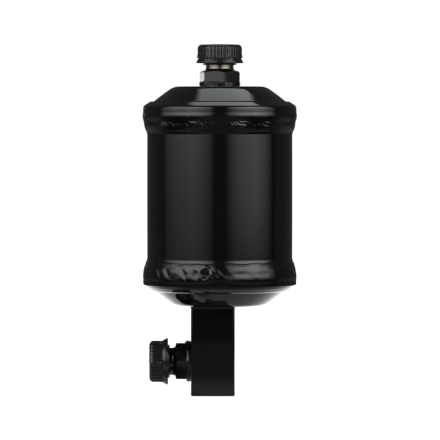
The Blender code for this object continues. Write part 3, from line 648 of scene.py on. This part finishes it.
def fitting_bead(name, seed, nubs, material):
    """Uneven fillet that climbs the foot of the hex. Nubs are (angle, width, height)."""
    columns = 480
    angles = ring_angles(columns)
    sweep = np.linspace(math.pi / 2, -math.radians(20), 14)[:, None]
    inner = COLLAR_RADIUS + 0.05 * MM
    lift = ring_noise(angles, [0.0], FOOT_BEAD_RADIUS, 4.0 * MM, seed)[0]
    swell = ring_noise(angles, sweep[:, 0] * 2 * MM, FOOT_BEAD_RADIUS, 2.2 * MM, seed + 7.0)
    top = COLLAR_HEIGHT + 0.75 * MM + 0.25 * MM * lift
    reach = FOOT_BEAD_RADIUS - 0.15 * MM - 0.15 * MM * np.abs(lift)
    for angle, width, height in nubs:
        nub = height * bell(wrapped(angles, angle), width)
        top = top + nub
        reach = reach + 0.4 * nub
    top = np.clip(top, 1.8 * MM, 3.6 * MM)[None, :]
    reach = np.minimum(reach, FOOT_BEAD_RADIUS + 0.4 * MM)[None, :]
    middle = 0.55 * top
    radius = inner + (reach - inner) * np.cos(sweep) + 0.1 * MM * swell * np.cos(sweep)
    height = middle + (top - middle) * np.sin(sweep) + 0.08 * MM * swell * np.cos(sweep)
    height = np.maximum(height, 0.05 * MM)
    radius = np.vstack((radius, radius[-1:], np.full((1, columns), inner)))
    height = np.vstack((height, np.zeros((2, columns))))
    return skin(name, around(radius, height), material, close_rows=True, sharp_angle=80.0)


def cap_outline(columns):
    """Centres of the corner arcs moved along a hexagon with round corners and slightly bowed sides.

    Gives them with the outward directions and the distances to the nearest corner. Corner 0
    is at +X. The samples are evenly spaced along the outline.
    """
    sagitta = (CAP_ACROSS_FLATS / 2 - CAP_CORNER_RADIUS) / math.cos(math.pi / 6)
    bend = CAP_CORNER_RADIUS * math.pi / 3
    length = bend + sagitta
    place = np.arange(columns) / columns * 6
    sector = np.floor(place)
    travel = (place - sector) * length
    corner = sector * math.pi / 3
    after = travel > bend / 2 + sagitta
    on_side = (travel >= bend / 2) & ~after
    angle = np.where(after, corner + math.pi / 3 - (length - travel) / CAP_CORNER_RADIUS, 0.0)
    angle = np.where(travel < bend / 2, corner + travel / CAP_CORNER_RADIUS, angle)
    angle = np.where(on_side, corner + math.pi / 6, angle)
    centre = np.where(after, corner + math.pi / 3, corner)
    along_side = np.where(on_side, (travel - bend / 2) / sagitta, 0.0)
    bulge = CAP_SIDE_BULGE * 4 * along_side * (1 - along_side)
    outward = np.stack((np.cos(angle), np.sin(angle)), axis=-1)
    base = np.stack((np.cos(centre), np.sin(centre)), axis=-1) * sagitta
    along = np.stack((-np.sin(angle), np.cos(angle)), axis=-1)
    shift = along * np.where(on_side, travel - bend / 2, 0.0)[:, None] + outward * bulge[:, None]
    corner_distance = np.minimum(travel, length - travel)
    return base + shift, outward, corner_distance


def port_cap(name, turn, material):
    """Moulded cap: collar, flared flange, ribbed grip, gussets and an internal thread."""
    position, outward, corner_distance = cap_outline(CAP_SEGMENTS)
    ring = position + CAP_CORNER_RADIUS * outward
    direction = ring / np.linalg.norm(ring, axis=1)[:, None]
    rib_phase = np.arange(CAP_SEGMENTS) / CAP_SEGMENTS * CAP_RIBS
    groove = bell((rib_phase % 1.0) - 0.5, CAP_RIB_VALLEY)
    rows = []

    def round_row(radius, height):
        rows.append(np.column_stack((direction * radius, np.full(CAP_SEGMENTS, height))))

    def round_arc(centre, radius, start, end, steps):
        for reach, height in arc(centre, radius, start, end, steps):
            round_row(reach, height)

    def grip_row(height, inset, rib, gusset):
        near_corner = np.clip(1 - corner_distance / CAP_GUSSET_HALF_WIDTH, 0.0, 1.0)
        reach = CAP_CORNER_RADIUS - inset - rib * CAP_RIB_DEPTH * groove
        reach = reach + gusset * CAP_GUSSET_REACH * near_corner
        rows.append(np.column_stack((position + outward * reach[:, None], np.full(CAP_SEGMENTS, height))))

    end = CAP_LENGTH
    rim = end - CAP_CROWN
    flange = CAP_FLANGE_RADIUS
    foot = CAP_COLLAR_HEIGHT + CAP_FLARE_HEIGHT
    flange_low = CAP_COLLAR_HEIGHT
    flange_edge = CAP_COLLAR_HEIGHT + CAP_FLANGE_EDGE_HEIGHT
    flare_low = flange_edge + 0.35 * MM
    flare_top = CAP_FLARE_RADIUS - CAP_FLARE_LEAN
    bore_end = end - CAP_END_WALL

    round_row(CAP_BORE_RADIUS + 0.4 * MM, 0.0)
    round_row(CAP_COLLAR_RADIUS - 0.2 * MM, 0.0)
    round_row(CAP_COLLAR_RADIUS, 0.2 * MM)
    quarter = math.pi / 2
    fillet = CAP_FILLET
    edge = CAP_FLANGE_ROUND
    round_arc((CAP_COLLAR_RADIUS + fillet, flange_low - fillet), fillet, math.pi, quarter, 3)
    round_arc((flange - edge, flange_low + edge), edge, -quarter, 0.0, 4)
    round_arc((flange - fillet, flange_edge - fillet), fillet, 0.0, quarter, 3)
    round_arc((CAP_FLARE_RADIUS + fillet, flare_low), fillet, -quarter, -math.pi, 3)
    flare_rise = foot - 0.25 * MM - flare_low
    for share in np.linspace(0.15, 1.0, 5):
        round_row(CAP_FLARE_RADIUS - CAP_FLARE_LEAN * share, flare_low + flare_rise * share)
    round_row(flare_top - 0.12 * MM, foot - 0.07 * MM)
    round_row(flare_top - 0.35 * MM, foot)
    for share in (0.4, 0.8, 1.0):
        grip_row(foot + share * 0.15 * MM, -0.35 * MM * (1 - share) ** 2, share, 1.0)
    for height in np.linspace(foot + 0.4 * MM, foot + CAP_GUSSET_HEIGHT, 6):
        gusset = 1 - (height - foot) / CAP_GUSSET_HEIGHT
        grip_row(height, 0.0, 1.0, gusset)
    grip_top = rim - CAP_EDGE_RADIUS
    for height in np.linspace(foot + CAP_GUSSET_HEIGHT, grip_top, 5)[1:]:
        grip_row(height, 0.0, 1.0, 0.0)
    for share in np.linspace(0.0, 1.0, 10)[1:]:
        turn_angle = share * math.pi / 2
        inset = CAP_EDGE_RADIUS * (1 - math.cos(turn_angle))
        fade = max(1 - share * 1.25, 0.0) ** 0.7
        grip_row(grip_top + CAP_EDGE_RADIUS * math.sin(turn_angle), inset, fade, 0.0)
    for share in (0.75, 0.5, 0.25, 0.0):
        round_row(max(CAP_ACROSS_FLATS / 2 * share * 0.85, 0.0), end - CAP_CROWN * share ** 2)
    round_row(0.0, bore_end)
    round_row(CAP_BORE_RADIUS - 0.3 * MM, bore_end)
    angles = np.arctan2(direction[:, 1], direction[:, 0])
    thread_low = 0.7 * MM
    thread_high = bore_end - SEAL_THICKNESS - 1.2 * MM
    thread_rows = round((thread_high - thread_low) / THREAD_PITCH * ROWS_PER_THREAD)
    for height in np.linspace(bore_end - 0.3 * MM, thread_high + 0.2 * MM, 3):
        round_row(CAP_BORE_RADIUS, height)
    for height in np.linspace(thread_high, thread_low, thread_rows):
        phase = ((height + CAP_BASE) / THREAD_PITCH - (angles + turn) / FULL_TURN) % 1.0
        ridge = np.clip(0.9 - np.abs(2 * phase - 1) * 1.7, 0.0, 1.0)
        ends = min(height - thread_low, thread_high - height) / THREAD_PITCH
        fade = min(max(ends, 0.0) * 2, 1.0)
        radius = CAP_BORE_RADIUS - (CAP_BORE_RADIUS - CAP_THREAD_CREST) * ridge * fade
        rows.append(np.column_stack((direction * radius[:, None], np.full(CAP_SEGMENTS, height))))
    grid = np.array(rows)
    cap = skin(name, grid, material, close_rows=True, sharp_angle=32.0)
    cap.matrix_world = Matrix.Translation((0.0, 0.0, CAP_BASE)) @ Matrix.Rotation(turn, 4, "Z")
    return cap


def build_ports(enamel, weld, steel, plastic, rubber):
    """Fittings, beads, seals and caps of both ports."""
    ports = (
        ("inlet", INLET_FRAME, INLET_FITTING_TURN, INLET_CAP_TURN, steel, 2.0),
        ("outlet", OUTLET_FRAME, OUTLET_FITTING_TURN, OUTLET_CAP_TURN, None, 31.0),
    )
    nubs = {
        "inlet": ((math.radians(216), 0.12, 0.6 * MM), (math.radians(305), 0.1, 0.3 * MM)),
        "outlet": ((math.radians(12), 0.09, 1.2 * MM), (math.radians(275), 0.12, 0.6 * MM)),
    }
    face = COLLAR_HEIGHT + HEX_LENGTH + NECK_LENGTH
    oring_height = face - ORING_GROOVE_DEPTH + SEAL_CLEARANCE + ORING_SECTION / 2
    seal_base = oring_height + ORING_SECTION / 2 + SEAL_CLEARANCE
    for side, placement, fitting_turn, cap_turn, neck, seed in ports:
        fitting = port_fitting(f"{side}_hex_fitting", fitting_turn, enamel, neck)
        put(fitting, placement, "canister", "black_paint", f"{side}_fitting")
        bead = fitting_bead(f"{side}_foot_bead", seed, nubs[side], weld)
        put(bead, placement, "canister", "black_paint", f"{side}_fitting_weld")
        ring = smooth_torus(
            f"{side}_face_ring", ORING_MEAN_RADIUS, ORING_SECTION / 2, oring_height, 96, 20, rubber
        )
        put(ring, placement, "canister", "seal_rubber", f"{side}_oring")
        disc_outline = [
            (0.0, seal_base),
            (THREAD_RADIUS, seal_base),
            (THREAD_RADIUS, seal_base + SEAL_THICKNESS),
            (0.0, seal_base + SEAL_THICKNESS),
        ]
        disc = turned(f"{side}_seal_disc", disc_outline, 96, rubber, close_rows=False)
        put(disc, placement, f"{side}_cap_seal", "seal_rubber", f"{side}_cap_seal")
        cap = port_cap(f"{side}_port_cap", cap_turn, plastic)
        put(cap, placement @ cap.matrix_world, f"{side}_cap", "black_plastic", f"{side}_cap")


def block_loop(half, corner, z):
    """A square outline with rounded corners, as 3D points."""
    points = []
    for quarter in range(4):
        start = quarter * math.pi / 2
        middle = start + math.pi / 4
        reach = math.sqrt(2) * (half - corner)
        centre = (reach * math.cos(middle), reach * math.sin(middle))
        bend = arc(centre, corner, start, start + math.pi / 2, BLOCK_CORNER_STEPS)
        points += [(x, y, z) for x, y in bend]
    return points


def block_weld_rows(half, steps):
    """Loops of the thin fillet round the block's top, from its foot to the head's crown."""
    loops = []
    for i in range(steps + 1):
        angle = i / steps * math.pi / 2
        out = BLOCK_WELD_LEG * (1 - math.cos(angle))
        up = BLOCK_WELD_LEG * math.sin(angle)
        loops.append(block_loop(half + out, BLOCK_EDGE_RADIUS + out, up))
    loops.append(block_loop(half, BLOCK_EDGE_RADIUS, BLOCK_WELD_LEG))
    return loops


def build_block(enamel, weld):
    """Square bar with its drilled passage, and the fillet under the lower crown."""
    half = (BLOCK_HIGH.x - BLOCK_LOW.x) / 2
    centre_x = (BLOCK_HIGH.x + BLOCK_LOW.x) / 2
    height = BLOCK_HIGH.z - BLOCK_LOW.z
    edge = BLOCK_EDGE_RADIUS
    steps = 6
    loops = [block_loop(half - edge, BLOCK_LEAST_RADIUS, 0.0)]
    for i in range(steps + 1):
        angle = i / steps * math.pi / 2
        inset = edge * (1 - math.sin(angle))
        corner = max(edge - inset, BLOCK_LEAST_RADIUS)
        loops.append(block_loop(half - inset, corner, edge * (1 - math.cos(angle))))
    top = [[(x, y, height - z) for x, y, z in loop] for loop in loops]
    rows = np.array(loops + top[::-1])
    pole = np.zeros((1, rows.shape[1], 3))
    lid = pole + np.array((0.0, 0.0, height))
    block = skin("connection_block", np.vstack((pole, rows, lid)), enamel, False, 24.0)

    drill_tip = PORT_HEIGHT - DRILL_TIP_BELOW_PORT - PASSAGE_RADIUS
    down = turned(
        "down_drill",
        [
            (0.0, drill_tip),
            (PASSAGE_RADIUS, drill_tip),
            (PASSAGE_RADIUS, height + edge),
            (0.0, height + edge),
        ],
        64,
        enamel,
        close_rows=False,
    )
    down.location.x = -centre_x
    seat = half - SPIGOT_LENGTH
    bore = SPIGOT_RADIUS + 0.3 * MM
    across = turned(
        "cross_drill",
        [
            (0.0, centre_x),
            (PASSAGE_RADIUS, centre_x),
            (PASSAGE_RADIUS, seat),
            (bore, seat),
            (bore, half + edge),
            (0.0, half + edge),
        ],
        64,
        enamel,
        close_rows=False,
    )
    across.location.z = PORT_HEIGHT
    across.rotation_euler.y = -math.pi / 2
    for cutter in (down, across):
        modifier = block.modifiers.new(cutter.name, "BOOLEAN")
        modifier.operation = "DIFFERENCE"
        modifier.object = cutter
    bpy.context.view_layer.update()
    cut = bpy.data.meshes.new_from_object(block.evaluated_get(bpy.context.evaluated_depsgraph_get()))
    block.modifiers.clear()
    block.data = cut
    for cutter in (down, across):
        bpy.data.objects.remove(cutter)
    place = Matrix.Translation((centre_x, 0.0, BLOCK_LOW.z))
    put(block, place, "canister", "black_paint", "outlet_block")

    rows = np.array(block_weld_rows(half + 0.02 * MM, 8))
    fillet = skin("block_fillet", rows, weld, close_rows=True, sharp_angle=60.0)
    put(
        fillet,
        Matrix.Translation((centre_x, 0.0, BLOCK_HIGH.z - BLOCK_WELD_LEG)),
        "canister",
        "black_paint",
        "outlet_block_weld",
    )


def dress_drying_bed():
    """Procedural finishes for the pieces inside the canister."""
    finishes = {
        "plate_steel": dull_material(
            "mill_steel", (0.5, 0.5, 0.49), (0.6, 0.6, 0.58), 0.36, 0.6 * MM, 0.004 * MM, 1.0
        ),
        "spring_steel": dull_material(
            "spring_wire", (0.36, 0.36, 0.37), (0.46, 0.46, 0.47), 0.3, 0.4 * MM, 0.003 * MM, 1.0
        ),
        "filter_felt": dull_material(
            "felt", (0.76, 0.74, 0.68), (0.86, 0.84, 0.79), 0.93, 0.7 * MM, 0.25 * MM
        ),
        "moulded_desiccant": dull_material(
            "desiccant", (0.66, 0.59, 0.49), (0.78, 0.72, 0.62), 0.9, 1.1 * MM, 0.2 * MM
        ),
    }
    wearing = {
        "lower_plate": "plate_steel",
        "upper_plate": "plate_steel",
        "outlet_screen": "plate_steel",
        "compression_spring": "spring_steel",
        "lower_pad": "filter_felt",
        "upper_pad": "filter_felt",
        "desiccant_core": "moulded_desiccant",
    }
    for node, slot in wearing.items():
        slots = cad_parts[node].data.materials
        slots.clear()
        slots.append(finishes[slot])


PANEL_DISTANCE = 1.0
PANEL_LOW = -0.002
PANEL_HIGH = 1.15
PANEL_COLUMNS = 24
BACK_SCREEN_LOW = 0.215


def curved_panel(name, start, end, low, high, radius, material, glossy_only=False):
    """Upright panel on a circle round the object. Azimuths are from the camera, to the right."""
    row = PANEL_COLUMNS + 1
    points = []
    for z in (low, high):
        for i in range(row):
            azimuth = math.radians(start + (end - start) * i / PANEL_COLUMNS)
            points.append((radius * math.sin(azimuth), -radius * math.cos(azimuth), z))
    faces = [(i, i + 1, i + row + 1, i + row) for i in range(PANEL_COLUMNS)]
    return stage_mesh(name, points, faces, material, glossy_only)


def rectangle(left, right, near, far, z):
    return [(left, near, z), (right, near, z), (right, far, z), (left, far, z)]


def stage_mesh(name, points, faces, material, glossy_only=False):
    mesh = bpy.data.meshes.new(name)
    mesh.from_pydata(points, [], faces)
    mesh.materials.append(material)
    obj = bpy.data.objects.new(name, mesh)
    bpy.context.scene.collection.objects.link(obj)
    obj.visible_camera = False
    if glossy_only:
        obj.visible_diffuse = False
        obj.visible_shadow = False
    return obj


def glow(name, colour, rise, sweep=None, axis="Z"):
    """Emission whose radiance follows stops along an axis, faded by stops over the azimuth."""
    graph = Graph(name)
    graph.tree.nodes.remove(graph.shader)
    parts = graph.add("ShaderNodeSeparateXYZ", {"Vector": graph.place()}).outputs
    strength = graph.ramp(parts[axis], rise)
    if sweep:
        forward = graph.math("MULTIPLY", parts["Y"], -1.0)
        azimuth = graph.math("DEGREES", graph.math("ARCTAN2", parts["X"], forward))
        strength = graph.math("MULTIPLY", strength, graph.ramp(azimuth, sweep))
    emission = graph.add("ShaderNodeEmission", {"Color": (*colour, 1.0), "Strength": strength})
    graph.feed(graph.output, {"Surface": emission.outputs[0]})
    return graph.material


# Radiance of the side panels over their height, and its fading over the azimuth from the camera
LEFT_RISE = [
    (0.0, 0.1), (0.03, 0.2), (0.046, 0.43), (0.096, 0.68),
    (0.147, 0.97), (0.2, 1.85), (0.4, 3.2), (1.2, 3.2),
]
LEFT_SWEEP = [
    (-100, 0.0), (-97, 0.1), (-90, 0.34), (-77, 0.6), (-66, 0.79),
    (-55, 0.87), (-44, 1.0), (-34, 0.9), (-25, 0.7), (-15, 0.4), (-8, 0.0),
]
RIGHT_RISE = [
    (0.0, 0.1), (0.03, 0.2), (0.053, 0.45), (0.096, 1.0),
    (0.147, 1.25), (0.2, 2.0), (0.4, 4.0), (1.2, 4.0),
]
RIGHT_SWEEP = [
    (8, 0.0), (13, 0.17), (23, 0.54), (33, 0.77), (43, 0.87),
    (53, 1.0), (64, 0.87), (75, 0.58), (86, 0.17), (90, 0.03), (96, 0.0),
]

# Overhead box: radiance from its left end to its right one, its height and its two edges
OVERHEAD_SPAN = [(-0.34, 0.0), (-0.25, 1.85), (0.3, 2.35), (0.4, 2.1), (0.48, 0.0)]
OVERHEAD_HEIGHT = 1.2
OVERHEAD_NEAR = 0.13
OVERHEAD_FAR = 0.62

# Dark screen above the box, and the small card that lights the inlet hex's left side
LID_HALF = 1.2
LID_GAP = 0.02
CARD_DISTANCE = 0.9
CARD_LOW = 0.1915
CARD_HIGH = 0.2035
CARD_RADIANCE = 2.2


def build_stage():
    """Floor, panels, dark screens and world."""
    left = glow("left_panel", (0.97, 0.99, 1.0), LEFT_RISE, LEFT_SWEEP)
    right = glow("right_panel", (1.0, 0.98, 0.95), RIGHT_RISE, RIGHT_SWEEP)
    dark = glow("dark_screen", (1.0, 1.0, 1.0), [(0.0, 0.06), (1.2, 0.08)])
    gap = glow("dark_gap", (1.0, 1.0, 1.0), [(0.0, 0.03), (1.2, 0.03)])
    curved_panel("panel_left", -100, -8, PANEL_LOW, PANEL_HIGH, PANEL_DISTANCE, left)
    curved_panel("panel_right", 8, 96, PANEL_LOW, PANEL_HIGH, PANEL_DISTANCE, right)
    curved_panel("screen_front", -8, 8, PANEL_LOW, PANEL_HIGH, PANEL_DISTANCE, gap, True)
    curved_panel("screen_left", -168, -100, PANEL_LOW, PANEL_HIGH, PANEL_DISTANCE, dark, True)
    curved_panel("screen_right", 96, 168, PANEL_LOW, PANEL_HIGH, PANEL_DISTANCE, dark, True)
    curved_panel("screen_back", 168, 192, BACK_SCREEN_LOW, PANEL_HIGH, PANEL_DISTANCE, gap, True)

    soft = glow("overhead_box", (0.93, 0.97, 1.0), OVERHEAD_SPAN, axis="X")
    left_end, right_end = OVERHEAD_SPAN[0][0], OVERHEAD_SPAN[-1][0]
    box = rectangle(left_end, right_end, OVERHEAD_NEAR, OVERHEAD_FAR, OVERHEAD_HEIGHT)
    stage_mesh("overhead_panel", box, [(0, 1, 2, 3)], soft)
    lid = rectangle(-LID_HALF, LID_HALF, -LID_HALF, LID_HALF, OVERHEAD_HEIGHT + LID_GAP)
    stage_mesh("overhead_screen", lid, [(0, 1, 2, 3)], dark, True)

    card = glow("side_card", (1.0, 1.0, 1.0), [(0.0, CARD_RADIANCE), (0.3, CARD_RADIANCE)])
    curved_panel("card_left", -156, -148, CARD_LOW, CARD_HIGH, CARD_DISTANCE, card)
    build_floor()
    build_world()


# Radiance of the floor in glosses, from in front of the object to behind it: a painted reflection, dim
# under and in front of the object as painted shade and bright behind it as painted light
FLOOR_RISE = [
    (-0.12, 0.1), (-0.085, 0.14), (-0.06, 0.32), (-0.03, 0.38), (-0.016, 0.38), (0.0, 0.47),
    (0.02, 0.6), (0.04, 0.9), (0.07, 1.3), (0.115, 1.85), (0.2, 2.1),
]
FLOOR_REACH = 12.0
FLOOR_DROP = 0.0002
FLOOR_LIFT = 0.86


def painted_floor_reflection_strength(graph):
    """How bright glosses see the floor.

    It is a painted reflection: dim under the object and in front as painted shade, dim far to the sides,
    brighter beside and behind the object as painted light, and dark under the outlet fitting and cap as a
    painted shadow.
    """
    place = graph.place()
    parts = graph.add("ShaderNodeSeparateXYZ", {"Vector": place}).outputs
    # Painted reflection of the floor: dim under and in front of the object as painted shade, brighter
    # beside and behind it as painted light
    level = graph.ramp(parts["Y"], FLOOR_RISE)
    beside = graph.ease(graph.math("ABSOLUTE", parts["X"]), 1.0, 1.9, 0.075, 0.14)
    far_side = graph.ease(graph.math("ABSOLUTE", parts["X"]), 1.0, 0.04, 0.16, 0.26)
    # Painted shadow under the outlet fitting and cap, seen only in reflections of the floor
    along = graph.math("MULTIPLY", graph.math("ADD", parts["X"], 0.038), 0.4)
    port_side = graph.math("ADD", parts["Y"], 0.02)
    offset = graph.add("ShaderNodeCombineXYZ", {"X": along, "Y": port_side}).outputs[0]
    from_port = graph.add("ShaderNodeVectorMath", {0: offset}, operation="LENGTH").outputs["Value"]
    port_painted_shadow = graph.ease(from_port, 0.1, 1.0, 0.005, 0.012)
    widened = graph.math("MULTIPLY", level, beside)
    painted_floor_shade = graph.math("MULTIPLY", far_side, port_painted_shadow)
    return graph.math("MULTIPLY", widened, painted_floor_shade)


def build_floor():
    """Pale floor: white to the camera under the object's own soft shadow; in reflections a painted floor
    brightness with painted shade and painted light.
    """
    graph = Graph("pale_floor")
    graph.tree.nodes.remove(graph.shader)
    path = graph.add("ShaderNodeLightPath").outputs
    diffuse = graph.add("ShaderNodeBsdfDiffuse", {"Color": (0.8, 0.8, 0.8, 1.0)}).outputs[0]
    lift = graph.add("ShaderNodeEmission", {"Strength": FLOOR_LIFT}).outputs[0]
    seen = graph.add("ShaderNodeAddShader", {0: diffuse, 1: lift}).outputs[0]
    # Glosses see this emission instead of the lit floor: a painted reflection with painted shade and a
    # painted shadow
    painted_floor_reflection = graph.add("ShaderNodeEmission", {"Strength": painted_floor_reflection_strength(graph)}).outputs[0]
    first = graph.add("ShaderNodeMixShader", {0: path["Is Glossy Ray"], 1: diffuse, 2: painted_floor_reflection}).outputs[0]
    second = graph.add("ShaderNodeMixShader", {0: path["Is Camera Ray"], 1: first, 2: seen}).outputs[0]
    graph.feed(graph.output, {"Surface": second})
    corners = rectangle(-FLOOR_REACH, FLOOR_REACH, -FLOOR_REACH, FLOOR_REACH, 0.0)
    mesh = bpy.data.meshes.new("floor")
    mesh.from_pydata(corners, [], [(0, 1, 2, 3)])
    mesh.materials.append(graph.material)
    floor = bpy.data.objects.new("floor", mesh)
    floor.location.z = -FLOOR_DROP
    bpy.context.scene.collection.objects.link(floor)


WORLD_FILL = 0.35


def build_world():
    """White for what the camera sees, directly or in a gloss, and a dim even fill for the rest."""
    world = bpy.data.worlds.new("studio")
    world.use_nodes = True
    bpy.context.scene.world = world
    tree = world.node_tree
    background = tree.nodes["Background"]
    background.inputs["Color"].default_value = (1.0, 1.0, 1.0, 1.0)
    path = tree.nodes.new("ShaderNodeLightPath")
    seen = path.outputs["Is Camera Ray"]
    for other in ("Is Glossy Ray", "Is Transmission Ray"):
        largest = tree.nodes.new("ShaderNodeMath")
        largest.operation = "MAXIMUM"
        tree.links.new(seen, largest.inputs[0])
        tree.links.new(path.outputs[other], largest.inputs[1])
        seen = largest.outputs[0]
    strength = tree.nodes.new("ShaderNodeMapRange")
    tree.links.new(seen, strength.inputs["Value"])
    strength.inputs["To Min"].default_value = WORLD_FILL
    strength.inputs["To Max"].default_value = 1.0
    tree.links.new(strength.outputs[0], background.inputs["Strength"])


CAMERA_PLACE = Vector((0.00015, -2.6, 0.180))
CAMERA_TARGET = Vector((0.00015, 0.0, 0.1072))
CAMERA_LENS = 347.8
SENSOR_WIDTH = 36.0


def build_camera():
    data = bpy.data.cameras.new("camera")
    data.lens = CAMERA_LENS
    data.sensor_width = SENSOR_WIDTH
    data.clip_end = 50.0
    camera = bpy.data.objects.new("camera", data)
    bpy.context.scene.collection.objects.link(camera)
    camera.location = CAMERA_PLACE
    camera.rotation_euler = (CAMERA_TARGET - CAMERA_PLACE).to_track_quat("-Z", "Y").to_euler()
    bpy.context.scene.camera = camera


def main():
    build_camera()
    enamel = black_enamel()
    weld = weld_enamel()
    build_shell(enamel)
    for side, bead in (("upper", upper_bead(weld)), ("lower", lower_bead(weld))):
        put(bead, Matrix.Identity(4), "canister", "black_paint", f"{side}_weld")
    rubber = dull_material(
        "black_rubber", (0.012, 0.012, 0.012), (0.022, 0.022, 0.021), 0.6, 0.5 * MM, 0.01 * MM
    )
    build_ports(enamel, weld, bare_neck(), cap_plastic(), rubber)
    build_block(enamel, weld)
    dress_drying_bed()
    build_stage()
    bpy.context.scene.view_settings.view_transform = "Standard"


main()
